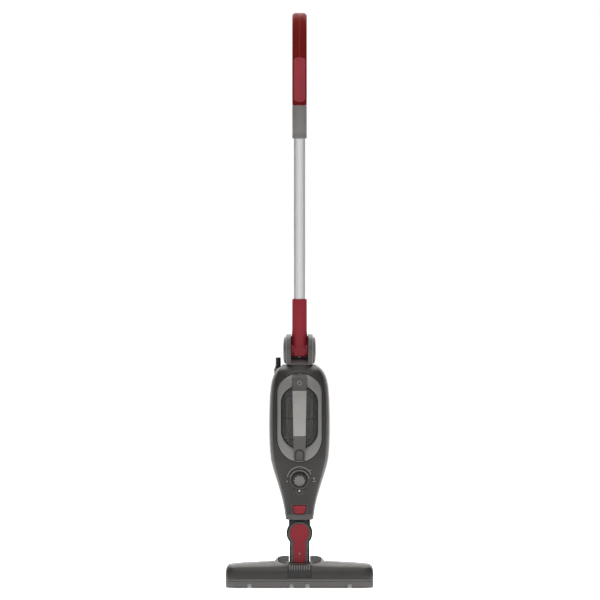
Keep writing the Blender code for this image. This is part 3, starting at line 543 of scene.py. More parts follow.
paint = {name: moulded(name, *look) for name, look in finishes.items()}
paint["ringWeave"] = hatched("ringWeave", finishes["ringGrey"], 1.6)
paint["aluminium"] = brushedMetal("aluminium", (0.86, 0.86, 0.86), 0.40, 0.35, 22.0)
paint["steel"] = brushedMetal("steel", (0.58, 0.58, 0.57), 0.30, 0.4, 6.0)
paint["smokedClear"] = smokedClear("smokedClear")
paint["padPile"] = looped("padPile", (0.70, 0.70, 0.68), 1.4, 0.8)
paint["filterPaper"] = looped("filterPaper", (0.62, 0.61, 0.57), 0.8, 0.12)
print("materials ready")


# Camera, lights and floor

studio = {
    "distance": 24.0, "elevation": 1.5, "aim": (0.001, 0.0, 0.5947), "frameHeight": 1.242,
    "air": 0.16, "floorGlow": (0.1, 0.9), "floorReach": 30000.0, "lit": (0.0, 0.0, 0.55),
    # name, place and size in metres, watts
    "lights": (
        ("leftBox", (-2.6, -1.3, 1.0), (1.8, 2.6), 6.0), ("rightBox", (2.6, -1.3, 1.0), (1.8, 2.6), 6.0),
        ("topBox", (0.0, -1.5, 2.6), (3.4, 2.2), 28.0), ("rearTopBox", (0.0, 1.2, 2.6), (3.4, 2.4), 85.0),
        ("frontBox", (0.0, -3.4, 0.8), (5.2, 1.5), 16.0), ("backBox", (0.0, 3.2, 1.1), (5.0, 2.2), 50.0),
    ),
}


def facing(spot, towards):
    return (Vector(towards) - Vector(spot)).to_track_quat("-Z", "Y").to_euler()


def makeStudio():
    scene = bpy.context.scene
    scene.view_settings.view_transform = "Standard"
    rise = math.radians(studio["elevation"])
    aim = Vector(studio["aim"])
    lens = bpy.data.cameras.new("camera")
    lens.sensor_width = 36.0
    lens.lens = lens.sensor_width * studio["distance"] / studio["frameHeight"]
    lens.clip_end = 200.0
    camera = bpy.data.objects.new("camera", lens)
    scene.collection.objects.link(camera)
    camera.location = aim + Vector((0.0, -math.cos(rise), math.sin(rise))) * studio["distance"]
    camera.rotation_euler = facing(camera.location, aim)
    scene.camera = camera
    for name, spot, size, power in studio["lights"]:
        data = bpy.data.lights.new(name, "AREA")
        data.shape = "RECTANGLE"
        data.size, data.size_y = size
        data.energy = power
        light = bpy.data.objects.new(name, data)
        light.location = spot
        light.visible_camera = False
        light.rotation_euler = facing(spot, studio["lit"])
        scene.collection.objects.link(light)
    world = bpy.data.worlds.new("studioAir")
    world.use_nodes = True
    air = world.node_tree
    background = air.nodes["Background"].inputs
    background["Color"].default_value = (1.0, 1.0, 1.0, 1.0)
    # what the lens meets is white, and gives less light than it shows
    seen = air.nodes.new("ShaderNodeLightPath").outputs["Is Camera Ray"]
    between(air, seen, background["Strength"], studio["air"], 1.0, 0.0, 1.0)
    scene.world = world
    floor, tree, shader, spot = newMaterial("paleFloor")
    tones(tree, shader, noise(tree, spot, 900), (0.93, 0.93, 0.93), (0.96, 0.96, 0.96))
    shader.inputs["Roughness"].default_value = 0.9
    shader.inputs["Emission Color"].default_value = (1.0, 1.0, 1.0, 1.0)
    seen = tree.nodes.new("ShaderNodeLightPath").outputs["Is Camera Ray"]
    between(tree, seen, shader.inputs["Emission Strength"], *studio["floorGlow"], 0.0, 1.0)
    ground = arc((0, 0), studio["floorReach"], 0, 360 - 5, 71)
    loft("floor", [level(ground, z) for z in (-40.0, -0.2)], floor)


makeStudio()
print("studio ready")


# Floor head

skirtLow, skirtHigh = extent("head_skirt")
head = {
    "halfWidth": extent("head_cover")[1].x, "halfDepth": 60.0, "middleY": -5.0, "corner": 26.0, "wall": 2.5,
    "notches": (-16.5, 16.5, -103.5, 103.5), "notchWidth": 8.5, "notchTop": 9.5, "notchCorner": 1.2,
    # in from the side, in from the ends, height
    "crown": (
        (0.2, 0.2, 20.5), (-0.1, 0.3, 27.0), (0.2, 1.6, 34.0), (1.5, 4.2, 40.0),
        (3.7, 7.6, 44.0), (8.8, 13.5, 47.7), (27.5, 21.0, 50.2), (57.5, 28.0, 52.2),
        (90.0, 34.0, 54.0),
    ),
    "lip": (
        (0.5, 0.5, 15.4), (-0.1, -0.1, 15.8), (-0.3, -0.3, 16.8), (-0.1, -0.1, 18.2), (0.5, 0.5, 18.9),
    ),
    # half width, depth in front and behind, height, slope
    "collar": (
        (56.0, 38.0, 38.0, 40.0, 0.0), (54.9, 37.3, 37.6, 46.5, 0.0), (53.4, 36.3, 37.1, 51.4, 0.03),
        (50.6, 34.7, 36.3, 54.0, 0.12), (47.6, 32.7, 35.0, 55.9, 0.19), (46.6, 32.0, 34.5, 56.2, 0.2),
        (45.6, 31.4, 33.8, 56.0, 0.2),
    ),
    "opening": (
        (42.0, 29.0, 30.0, 30.0), (42.0, 29.0, 30.0, 43.0), (42.4, 31.0, 30.2, 44.0),
        (43.0, 36.0, 30.5, 45.4), (44.0, 46.0, 31.0, 51.0), (44.8, 48.0, 32.0, 66.0),
    ),
    "dish": ((46.0, 44.0, 34.0, 39.0), (52.0, 50.0, 37.0, 47.5)),
    # inset, height
    "skirt": (
        (2.6, skirtLow.z), (1.5, skirtLow.z + 0.4), (0.7, skirtLow.z + 1.5), (0.2, skirtLow.z + 3.2),
        (0.0, 6.0), (0.0, 9.3), (0.35, 9.6), (0.35, 10.1), (0.0, 10.4), (0.0, skirtHigh.z - 0.8),
        (0.3, skirtHigh.z - 0.25), (0.9, skirtHigh.z - 0.05),
    ),
    "ribs": 9, "ribPitch": 5.0, "treadHalf": 24.0, "hairs": 230,
    "leanHalf": 21.7,  # keeps clear of the leaning stem
}


def headRing(inset, z, corner=head["corner"], side=0.0, end=0.0):
    half, deep = head["halfWidth"] - side - inset, head["halfDepth"] - end - inset
    return level(roundRect(half, deep, corner, (0.0, head["middleY"]), 16), z)


def headDome(name, inset, low, material=None, foot=()):
    rows = list(foot) or [(0.0, 0.0, low)]
    rings = []
    for side, end, z in rows + smoothRows(head["crown"], 6):
        corner = max(head["corner"] - max(end, 0.0) * 0.3 - inset, 8.0)
        rings.append(headRing(inset, z - inset if z > low + 1.0 else z, corner, side, end))
    return loft(name, rings, material)


def scoop(half, front, rear, z, slope=0.0, power=4.6):
    # a squared oval whose rim rises towards the rear
    points = []
    for x, y, _ in oval(1.0, 1.0, 1.0, 0.0, 128):
        x, y = (math.copysign(abs(v) ** (2.0 / power), v) for v in (x, y))
        y *= rear if y > 0 else front
        points.append((x * half, y, z + slope * y))
    return points


def makeHeadCover():
    cover = headDome("headCover", 0.0, 15.4, paint["headGrey"], head["lip"])
    collar = loft("collarForm", [scoop(*row) for row in smoothRows(head["collar"], 4)])
    hollow = headDome("coverHollow", head["wall"], 10.0)
    dish = loft("dishForm", [oval(*row) for row in head["dish"]])
    opening = loft("collarOpening", [scoop(*row) for row in head["opening"]])
    leanSlot = block("leanSlot", (-head["leanHalf"], head["leanHalf"]), (0.0, 80.0), (10.0, 80.0))
    pocketHalf = head["treadHalf"] + 0.6
    pocket = block("treadPocket", (-pocketHalf, pocketHalf), (-90.0, -50.6), (22.0, 60.0))
    shape(pocket, *minus(headDome("treadFloor", 1.3, 15.3)))
    steps = plus(collar) + minus(hollow) + plus(dish) + minus(opening, leanSlot, pocket)
    shape(cover, *steps, crease=32.0)
    repaint(cover, paint["skirtGrey"], lambda at, way: at.z < 19.0)
    # painted highlight: the collar's inner rear wall is painted light grey against the shade inside the
    # opening
    repaint(cover, paint["frameGrey"], lambda at, way: at.z > 46.0 and at.y > 4.0 and way.y < -0.4
            and abs(at.x) < 45.0)
    rim = [
        (x, y, z + 0.1) for x, y, z in scoop(45.6, 31.5, 33.9, 55.9, 0.2)
        if not (y > 0 and abs(x) < 22.5)
    ]
    # the rim's two ends stand at the lean slot, its widest gap
    gaps = [abs(rim[i][1] - rim[i - 1][1]) + abs(rim[i][0] - rim[i - 1][0]) for i in range(len(rim))]
    first = gaps.index(max(gaps))
    # the bead is a real raised rim, painted lighter than the cover as a painted highlight along the collar's
    # rim
    bead = tubeAlong("collarBead", rim[first:] + rim[:first], 0.9, paint["plateGrey"], 10, False)
    mount(together("headCover_", [cover, bead], 32.0), "head", "head_grey", "head_cover")


def makeSkirt():
    skirt = loft("headSkirt", [headRing(*row) for row in head["skirt"]], paint["skirtGrey"])
    tools = [loft("skirtHollow", [headRing(3.0, z, 23.0) for z in (-5.0, 30.0)])]
    front = head["middleY"] - head["halfDepth"]
    half, top, corner = head["notchWidth"] / 2, head["notchTop"], head["notchCorner"]
    for x in head["notches"]:
        outline = [(x - half, -5.0), (x + half, -5.0)]
        outline += arc((x + half - corner, top - corner), corner, 0, 90, 4)
        outline += arc((x - half + corner, top - corner), corner, 90, 180, 4)
        tools.append(prism(f"notch{x:.0f}", outline, "Y", front - 5, front + 6))
    mount(shape(skirt, *minus(*tools), crease=32.0), "head", "head_grey", "head_skirt")


def headFrontY(z):
    # the y of the head's front face at a height on the middle plane
    front = head["middleY"] - head["halfDepth"]
    rows = smoothRows(head["crown"], 6)
    for (_, endA, zA), (_, endB, zB) in zip(rows, rows[1:]):
        if zA <= z <= zB:
            return front + (endA + (endB - endA) * ((z - zA) / (zB - zA)))
    return front


def makeTread():
    # a rubber patch that follows the crown, with ribs across its upper part
    heights = [22.6, 23.0, 23.6] + [24.5 + i for i in range(20)] + [44.3, 45.2, 46.0, 46.8, 47.5, 48.0]
    profile = [Vector((headFrontY(z), z)) for z in heights]
    normals = []
    for i in range(len(profile)):
        along = profile[min(i + 1, len(profile) - 1)] - profile[max(i - 1, 0)]
        normals.append(Vector((-along.y, along.x)).normalized())
    half = head["treadHalf"]

    def lift(x, z):
        # the patch rises over a rounded edge on all sides
        edge = min(half - abs(x), (z - heights[0]) * 1.2, (heights[-1] - z) * 1.5)
        return -0.9 + 1.3 * min(1.0, math.sqrt(max(edge, 0.0) / 1.2))

    columns = [-half + 2 * half * k / 64 for k in range(65)]
    rings = []
    for z, point, normal in zip(heights, profile, normals):
        outer = [(x, *(point + normal * lift(x, z))) for x in columns]
        inner = [(x, *(point - normal * 1.2)) for x in reversed(columns)]
        rings.append(outer + inner)
    patch = loft("treadPatch", rings, paint["treadGrey"])
    ribPath = [
        Vector((0.0, *(point + normal * 0.5)))
        for z, point, normal in zip(heights, profile, normals) if 36.5 < z < 47.6
    ]
    rings = []
    normal = Vector((0.0, -0.6, 0.8))
    for i, point in enumerate(ribPath):
        taper = min(1.0, (i + 0.4) / 3.0, (len(ribPath) - i - 0.6) / 2.0)
        rings.append([
            point + Vector((math.cos(a) * 1.25 * max(taper, 0.25), 0.0, 0.0))
            + normal * (math.sin(a) * 1.3 * taper) for a in circle(10)
        ])
    # the ribs are painted lighter than the patch, a painted highlight on their tops
    rib = loft("treadRibs", rings, paint["ribHighlightGrey"], crease=70.0)
    fillRow(rib, "ribRow", paint["ribHighlightGrey"], head["ribs"], (head["ribPitch"], 0, 0), 70.0)
    mount(together("headTread", [patch, rib], 50.0), "head", "rubber", "tread_insert")


def makeBristles():
    low, high = extent("bristle_strip")
    half, centre = (high.x - low.x) / 2, (0, (low.y + high.y) / 2)
    back = raised("bristleBack", lambda inset: roundRect(half - inset, 1.7 - inset, 1.2, centre, 4),
                  "Z", high.z, 6.4, 0.5, paint["bristle"])
    hair = [
        [(radius * math.cos(a), radius * math.sin(a) - height * height * 0.02, height) for a in circle(4)]
        for height, radius in ((0.0, 0.17), (-2.4, 0.16), (-5.0, 0.12))
    ]
    hair = loft("bristleHair", hair, paint["bristle"], crease=80.0)
    step = (high.x - low.x - 3.0) / (head["hairs"] - 1)
    fillRow(hair, "bristleRow", paint["bristle"], head["hairs"], (step, 0, 0), 80.0, **{
        "Start": tiny((low.x + 1.5, low.y + 0.4, 6.6)), "Rows": 4, "Row Step": tiny((step * 0.3, 0.85, 0)),
        "Lean": (0.10, 0.10, 0.0), "Shortest": 0.9, "Seed": 11,
    })
    mount(together("bristles", [back, hair], 60.0), "head", "bristle", "bristle_strip")


def makeBlade():
    low, high = extent("rubber_blade")
    middle, half = (low.y + high.y) / 2, (high.y - low.y) / 2
    outline = [(middle - half, high.z), (middle + half, high.z), (middle + half, low.z + 3.0)]
    outline += arc((middle, low.z + 0.45), 0.45, 0, -180, 6) + [(middle - half, low.z + 3.0)]
    blade = prism("rubberBlade", outline, "X", low.x, high.x, paint["paleRubber"])
    mount(blade, "head", "pale_rubber", "rubber_blade")


padLow, padHigh = extent("mop_pad")
pad = {
    "voxel": 2.5, "pressure": 4.0, "frames": 20, "cap": 2.2,  # the cap is how far a point may move
    "channels": 7, "seam": 1.6, "draw": 0.22,  # a seam's half width, and how far it draws the pad in
}


def padRing(inset, z):
    half, deep = (padHigh.x - padLow.x) / 2, (padHigh.y - padLow.y) / 2
    centre = (0.0, (padLow.y + padHigh.y) / 2)
    return level(roundRect(half - inset, deep - inset, 19.0 - inset * 0.5, centre, 10), z)


def makePad():
    low, high, middle = padLow.z, padHigh.z, (padLow.z + padHigh.z) / 2
    rows = ((5.0, low + 0.9), (2.6, low + 1.7), (2.0, middle), (2.6, high - 1.7), (5.0, high - 0.9))
    soft = loft("mopPad", [padRing(*row) for row in rows], paint["padPile"])
    swell(soft)
    quilt(soft)
    welt = tubeAlong("padWelt", padRing(0.7, middle + 0.6), 0.75, paint["padPile"])
    whole = together("mopPadQuilted", [soft, welt], 60.0)
    mount(whole, "head", "pad_fabric", "mop_pad")


def swell(soft):
    remesh = soft.modifiers.new("remesh", "REMESH")
    remesh.mode = "VOXEL"
    remesh.voxel_size = pad["voxel"] * mm
    settled(soft, 60.0)
    rest = [vertex.co.copy() for vertex in soft.data.vertices]
    cloth = soft.modifiers.new("cloth", "CLOTH")
    cloth.settings.use_pressure = True
    cloth.settings.uniform_pressure_force = pad["pressure"]
    cloth.settings.quality = 4
    cloth.settings.effector_weights.gravity = 0.0
    cloth.point_cache.frame_start, cloth.point_cache.frame_end = 1, pad["frames"]
    scene = bpy.context.scene
    for step in range(1, pad["frames"] + 1):
        scene.frame_set(step)
    settled(soft, 60.0)
    scene.frame_set(1)
    most = pad["cap"] * mm
    for vertex, start in zip(soft.data.vertices, rest):
        shift = vertex.co - start
        if shift.length > most:
            shift *= most / shift.length
        vertex.co = start + shift


def quilt(soft):
    # sewn channels across the pad, and nothing below the floor or above the hook strips
    fine = soft.modifiers.new("fine", "SUBSURF")
    fine.levels = fine.render_levels = 1 if len(soft.data.vertices) > 2000 else 2
    settled(soft, 60.0)
    pitch = (padHigh.x - padLow.x) / pad["channels"]
    middle = (padLow.z + padHigh.z) / 2
    for vertex in soft.data.vertices:
        x, z = vertex.co.x / mm, vertex.co.z / mm
        off = abs((x / pitch + 0.5) % 1.0 - 0.5) * pitch
        seam = math.exp(-(off / pad["seam"]) ** 2)
        z = middle + (z - middle) * (1.0 - pad["draw"] * seam)
        vertex.co.z = min(max(z, padLow.z + 0.02), padHigh.z) * mm


for make in (makeHeadCover, makeSkirt, makeTread, makeBristles, makeBlade, makePad):
    make()
print("head ready")


# Neck

def joint(name):
    return next(j for j in frame["joints"] if j["name"] == name)


neckPitch, neckRoll = (Vector(joint(name)["pos_m"]) / mm for name in ("head_pitch", "neck_roll"))
plateLow, plateHigh = extent("neck_faceplate")
redLow, redHigh = extent("neck_cover")
neck = {
    "stemHalf": 20.7, "plateRadius": plateHigh.x, "plateStem": 17.4, "redRadius": redHigh.x,
    "redStem": 12.6, "drumRadius": 19.0, "drumHalf": 28.8, "trunnion": 7.0, "screwZ": 70.5,
    "screwRadius": 1.7, "bore": 5.3, "airway": 12.5,
}


def keyhole(radius, stem, low):
    turn = math.degrees(math.acos(stem / radius))
    foot = [(stem, low + rise) for rise in (0, 6, 12, 20)]
    sweep = arc((0.0, neckRoll.z), radius, -turn, 180 + turn, 40)
    return foot + sweep + [(-u, v) for u, v in reversed(foot)]


def keyPlate(name, radius, stem, low, back, face, edge, material=None, *more):
    def outlineAt(inset):
        return keyhole(radius - inset, stem - inset, low + inset)

    return raised(name, outlineAt, "Y", back, face, edge, material, *more)


def screwItem(name, radius, height):
    # a pan head with a cross recess, standing at the origin and facing -Y
    profile = [
        (0.0, 0.0), (radius, 0.0), (radius, -height * 0.35), (radius * 0.86, -height * 0.8),
        (radius * 0.55, -height), (0.0, -height),
    ]
    item = turned(name, profile, "Y", material=paint["steel"], steps=28)
    arm, thick = (-radius * 0.62, radius * 0.62), (-radius * 0.16, radius * 0.16)
    deep = (-height * 1.2, -height * 0.45)
    return shape(item, *minus(block("armA", arm, deep, thick), block("armB", thick, deep, arm)))


def makeNeckFrame():
    low, high = extent("neck_frame")
    stem, radius = neck["stemHalf"], neck["plateRadius"]
    rows = ((18.0, 6.0, 0.0, 38.0), (18.0, 6.0, 0.0, 66.0), (19.8, 5.0, -0.7, 76.0), (19.8, 5.0, -0.7, 84.5))
    rings = [level(roundRect(stem, deep, corner, (0.0, y), 6), z) for deep, corner, y, z in rows]
    frameBody = loft("neckFrame", rings, paint["black"])
    drumHalf = neck["drumHalf"]
    drum = rod("neckDrum", neck["drumRadius"], "X", neckPitch, -drumHalf, drumHalf, None, 72, 1.5)
    pins = rod("neckTrunnions", neck["trunnion"], "X", neckPitch, low.x, high.x, None, 40, 0.8)
    front = keyPlate("neckFront", radius, stem - 0.4, 77.0, -17.0, low.y, 0.8)
    rear = keyPlate("neckRear", radius, stem - 0.4, 77.0, 14.0, high.y, 1.4)
    bore = rod("rollBore", neck["bore"], "Y", (0.0, 0.0, neckRoll.z), -18.5, 40.0)
    airway = rod("stemAirway", neck["airway"], "Z", (0, 0, 0), 5.0, 100.0)
    steps = plus(drum, pins, front, rear) + minus(airway, bore)
    shape(frameBody, *steps, solver="MANIFOLD", crease=35.0)
    mount(frameBody, "neck", "black_plastic", "neck_frame")


def makeNeckPlates():
    plate = keyPlate("neckPlate", neck["plateRadius"], neck["plateStem"], plateLow.z, plateHigh.y, plateLow.y,
                     1.0, paint["plateGrey"])
    rim = keyhole(neck["redRadius"] + 1.3, neck["redStem"] + 1.5, plateLow.z + 1)
    bead = tubeAlong("neckRim", [(u, plateLow.y - 0.1, v) for u, v in rim], 0.55, paint["plateGrey"])
    mount(together("neckFaceplate", [plate, bead]), "neck", "body_grey", "neck_faceplate")
    red = keyPlate("neckRedCover", neck["redRadius"], neck["redStem"], redLow.z, redHigh.y, redLow.y, 1.3,
                   paint["red"], 6, 11.5)
    for vertex in red.data.vertices:
        # the face bows a little and bends back near its foot
        x, z = vertex.co.x / mm, vertex.co.z / mm
        if vertex.co.y / mm < redLow.y + 1.0:
            vertex.co.y += (0.0035 * x * x + 0.02 * max(62.0 - z, 0.0) ** 1.5) * mm * 0.5
    hole = rod("coverScrewHole", neck["screwRadius"], "Y", (0, 0, neck["screwZ"]), -40.0, 0.0, None, 32)
    mount(shape(red, *minus(hole), crease=35.0), "neck", "red_plastic", "neck_cover")
    low, high = extent("roll_pin")
    profile = [(0.0, low.y), (4.2, low.y), (5.0, low.y + 0.8), (5.0, 19.9), (8.5, 19.9), (8.5, high.y - 0.7),
               (7.8, high.y), (3.2, high.y), (2.8, high.y - 0.8), (0.0, high.y - 0.8)]
    mount(turned("rollPin", profile, "Y", (0, 0, neckRoll.z), paint["steel"]), "neck", "steel", "roll_pin")


def screwGroup(name, places, radius, height, way, seed):
    # way is -1 for heads that face the front and 1 for heads that face the rear
    item = screwItem(name + "Item", radius, height)
    if way > 0:
        item.data.transform(Matrix.Rotation(math.pi, 4, "Z"))
    holder = newPiece(name, places, [], paint["steel"])
    useTree(holder, pointsTree(name + "Tree", paint["steel"]),
            {"Piece": item, "Turn": (0.0, 3.0, 0.0), "Seed": seed}, 35.0)
    bpy.data.objects.remove(item, do_unlink=True)
    return holder


def makeNeckScrew():
    seat = (0.0, extent("neck_cover_screw")[0].y + 1.0, neck["screwZ"])
    mount(screwGroup("neckScrew", [seat], 1.4, 0.9, -1, 4), "neck", "steel", "neck_cover_screw")


for make in (makeNeckFrame, makeNeckPlates, makeNeckScrew):
    make()
print("neck ready")


# Body shells

body = {
    "power": 2.35, "wall": 2.5, "seam": 0.57, "seamGap": 0.4, "around": 160, "rings": 110,
    # height, half width, depth in front and behind
    "rows": (
        (140.0, 28.7, 28.0, 28.0), (166.0, 32.0, 31.0, 32.0), (191.0, 37.9, 35.5, 37.0),
        (216.0, 45.2, 40.0, 43.5), (241.0, 53.1, 45.5, 47.5), (266.0, 59.2, 50.5, 49.5),
        (309.0, 62.5, 54.5, 50.0), (365.0, 62.5, 55.0, 49.5), (408.0, 60.4, 52.0, 47.5),
        (433.0, 55.7, 46.0, 44.0), (450.0, 47.2, 38.5, 38.5), (461.0, 34.0, 28.0, 30.0),
    ),
    # half width, top, both ends of the straight sides, bottom
    "bay": (46.0, 444.0, 404.0, 311.0, 261.0), "pane": (38.0, 419.0, 385.0, 326.0, 288.0),
    "screws": ((-30.0, 300.0), (30.0, 300.0), (-30.0, 395.0), (30.0, 395.0)),
    "boot": (-44.0, 24.0), "bootRibs": 6,
    "bootFoot": [(4.0, 453.2), (6.4, 453.2), (6.6, 453.5), (6.6, 456.0), (6.2, 456.4)],
    "lampZ": 201.0, "release": (153.0, 170.5),
    "lampRings": (4.1, 2.5, 7.6),  # radii of the surround, its hole and the ring of dots
    "boss": ((0.0, 424.0), (8.5, 424.0), (8.5, 451.7), (8.2, 452.5), (7.4, 452.9), (0.0, 452.9)),
    "grilleRim": (
        (0.0, -2.6), (0.0, -0.2), (0.08, 0.3), (0.25, 0.5), (0.75, 0.5), (0.92, 0.3), (1.0, -0.2),
        (1.0, -2.6),
    ),
    "slat": ((-1.1, -2.4), (1.3, -0.4), (1.6, 0.1), (1.1, 0.3), (-1.7, -1.6), (-1.9, -2.2)),
    "slats": 7, "slatPitch": 5.6,
    # half width, half depth, corner, middle, height
    "spigot": (
        (22.2, 15.0, 6.0, -1.5, 112.5), (22.2, 15.0, 6.0, -1.5, 137.4), (21.9, 16.0, 9.0, -1.0, 138.4),
        (21.5, 19.0, 16.0, 0.0, 139.3), (21.5, 21.0, 18.0, 0.0, 168.0),
    ),
}
bodyLow, bodyTop = body["rows"][0][0], body["rows"][-1][0]


def bodyAt(z):
    # half width and depths at a height, on smooth curves through the rows
    rows = body["rows"]
    z = min(max(z, bodyLow), bodyTop - 0.001)
    index = max(i for i in range(len(rows) - 1) if rows[i][0] <= z)
    here, there = rows[index], rows[index + 1]
    before, after = rows[max(index - 1, 0)], rows[min(index + 2, len(rows) - 1)]
    span = there[0] - here[0]
    t = (z - here[0]) / span
    values = []
    for k in (1, 2, 3):
        rateHere = (there[k] - before[k]) / (there[0] - before[0]) * span
        rateThere = (after[k] - here[k]) / (after[0] - here[0]) * span
        values.append((2 * t ** 3 - 3 * t ** 2 + 1) * here[k] + (t ** 3 - 2 * t ** 2 + t) * rateHere
                      + (3 * t ** 2 - 2 * t ** 3) * there[k] + (t ** 3 - t ** 2) * rateThere)
    return values


def bodyRing(z, inset):
    half, front, rear = (value - inset for value in bodyAt(z))
    ring = []
    for turn in circle(body["around"]):
        x, y = (math.copysign(abs(v) ** (2 / body["power"]), v) for v in (math.cos(turn), math.sin(turn)))
        ring.append((half * x, (rear if math.sin(turn) > 0 else front) * y, z))
    return ring


def bodyForm(name, inset, material=None):
    # the whole body; its foot is rounded only on the outer form
    rings, foot = [], 0.0
    if not inset:
        rings += [bodyRing(bodyLow, 1.5), bodyRing(bodyLow + 0.3, 0.6)]
        foot = 1.3
    for i in range(body["rings"] + 1):
        z = bodyLow + (bodyTop - bodyLow) * i / body["rings"]
        z = min(max(z, bodyLow + inset + foot), bodyTop - inset)
        if not rings or z > rings[-1][0][2] + 0.3:
            rings.append(bodyRing(z, inset))
    return loft(name, rings, material)


def bodyDepth(x, z, rear=False):
    half, front, back = bodyAt(z)
    reach = max(1 - min(abs(x / half), 1.0) ** body["power"], 0.0) ** (1 / body["power"])
    return back * reach if rear else -front * reach


def lozenge(form, inset, steps=48):
    # form holds the half width, top, both ends of the straight sides, and bottom
    half, top, straightTop, straightLow, low = form
    points = []
    for start, middle, height in ((0, straightTop, top - straightTop - inset),
                                  (180, straightLow, straightLow - low - inset)):
        for i in range(steps + 1):
            turn = math.radians(start + 180 * i / steps)
            points.append(((half - inset) * math.cos(turn), middle + height * math.sin(turn)))
    evened = []
    for here, there in zip(points, points[1:] + points[:1]):
        gap = math.dist(here, there)
        parts = max(1, round(gap / 4.0)) if gap > 6.0 else 1
        evened += [tuple(a + (b - a) * k / parts for a, b in zip(here, there)) for k in range(parts)]
    return evened


def onBody(x, z, lift, rear=False):
    y = bodyDepth(x, z, rear)
    return (x, y + lift if rear else y - lift, z)


def drape(outline, lift, rear=False):
    return [onBody(x, z, lift, rear) for x, z in outline]


def upright(outline, y):
    return [(x, y, z) for x, z in outline]


def band(name, outline, inner, section, material, rear=False):
    # a closed strip between two outlines on the body; section is (share across, lift)
    rings = []
    for (x, z), (innerX, innerZ) in zip(outline, inner):
        rings.append([
            onBody(x + (innerX - x) * share, z + (innerZ - z) * share, lift, rear)
            for share, lift in section
        ])
    return loft(name, rings, material, True, 50.0)


def releaseOutline(inset):
    low, high = body["release"][0] + inset, body["release"][1] - inset
    corners = [(-14.2 + inset, high - 1.5), (-12.5 + inset, high), (12.5 - inset, high),
               (14.2 - inset, high - 1.5), (11.2 - inset, low + 2.5), (8.0 - inset, low),
               (-8.0 + inset, low), (-11.2 + inset, low + 2.5)]
    return softCorners(corners)


def halfSpace(name, far, offset):
    # everything on one side of the joint between the two shells
    heights = [bodyLow + (bodyTop - bodyLow) * i / 80 for i in range(81)]
    heights = [bodyLow - 5.0] + heights + [bodyTop + 5.0]
    seam = [(offset - body["seam"] * bodyAt(z)[1], z) for z in heights]
    return prism(name, seam + [(far, heights[-1]), (far, heights[0])], "X", -90.0, 90.0)


def shellHollow():
    # what both shells leave free: the inside, the neck's hole and the yoke's hole
    return [
        bodyForm("shellHollow", body["wall"]), rod("footHole", 23.0, "Z", (0, 0, 0), 130.0, 160.0),
        block("yokeHole", (-10.0, 10.0), (-10.0, 10.0), (450.0, 480.0)),
    ]


dial = {
    "lobes": 10, "lobe": 1.0, "radius": 11.4, "low": -0.9, "high": 9.0,
    "arcRadius": 25.2, "arcMiddle": 226.0, "arcWidth": 0.9, "tickTurn": 38.0,
    # radius and height of each profile
    "bead": ((21.3, -1.5), (21.3, 0.35), (21.8, 0.75), (22.6, 0.7), (23.4, 0.2), (23.8, -1.5)),
    "dish": (
        (3.4, -5.0), (20.9, -5.0), (20.9, 0.3), (20.6, 0.7), (20.0, 0.9), (19.2, 0.8), (18.4, 0.45),
        (17.6, -0.2), (16.6, -0.9), (15.6, -1.45), (14.6, -1.65), (3.4, -1.7),
    ),
    "shade": ((13.2, -2.0), (13.2, -1.5), (15.2, -1.4), (16.9, -0.75), (17.3, -0.9), (15.6, -2.2)),
    # radius less this, counted from the low or high end, rise, share of a lobe
    "knob": (
        (8.4, 0, -8.1, 0), (8.4, 0, 0.0, 0), (-0.2, 0, 0.0, 0.4), (-0.5, 0, 0.5, 0.6), (-0.1, 0, 2.0, 1.0),
        (0.1, 1, -2.4, 1.0), (0.4, 1, -1.1, 0.95), (1.1, 1, -0.35, 0.75), (2.0, 1, 0.0, 0.45),
        (3.0, 1, -0.1, 0.15), (4.0, 1, -0.5, 0.0), (6.5, 1, -0.75, 0.0), (9.4, 1, -0.8, 0.0),
    ),
    # across, above the arc's middle, radius
    "dots": ((-25.6, -5.4, 1.2), (30.0, 0.4, 1.5), (28.4, -5.6, 1.0), (31.8, -5.6, 1.0)),
}
printLift = 0.14  # how far a printed mark stands proud of the shell
dialTurn = (-Vector(joint("dial_turn")["axis"])).to_track_quat("Z", "Y")
dialPlace = Matrix.Translation(Vector(joint("dial_turn")["pos_m"])) @ dialTurn.to_matrix().to_4x4()


def onDial(piece):
    piece.data.transform(dialPlace)
    return piece


def makeFrontShell():
    front = bodyForm("frontShell", 0.0, paint["bodyGrey"])
    shape(front, *inside(halfSpace("frontSpace", -90.0, -body["seamGap"])), crease=32.0)
    repaint(front, paint["plateGrey"], lambda at, way: at.z < 151.0)
    bay = prism("bayCut", lozenge(body["bay"], -0.6), "Y", -90.0, 0.0)
    dialHole = onDial(rod("dialCut", 21.5, "Z", (0, 0, 0), -8.0, 20.0, None, 72))
    release = prism("releaseCut", releaseOutline(-0.45), "Y", -60.0, -10.0)
    lampHole = rod("lampCut", 2.5, "Y", (0, 0, body["lampZ"]), -60.0, -20.0, None, 32)
    tools = shellHollow() + [bay, dialHole, release, lampHole]
    shape(front, *minus(*tools), solver="MANIFOLD", crease=32.0)
    grey = paint["bodyGrey"]
    bayBead = tubeAlong("bayBead", drape(lozenge(body["bay"], -1.3), -0.25), 0.85, grey, 10)
    releaseBead = tubeAlong("releaseBead", drape(releaseOutline(-1.2), -0.3), 0.75, grey, 10)
    dialBead = onDial(turned("dialBead", dial["bead"], "Z", material=grey, steps=96))
    whole = together("frontShellTrimmed", [front, bayBead, releaseBead, dialBead], 32.0)
    mount(whole, "body", "body_grey", "front_shell")


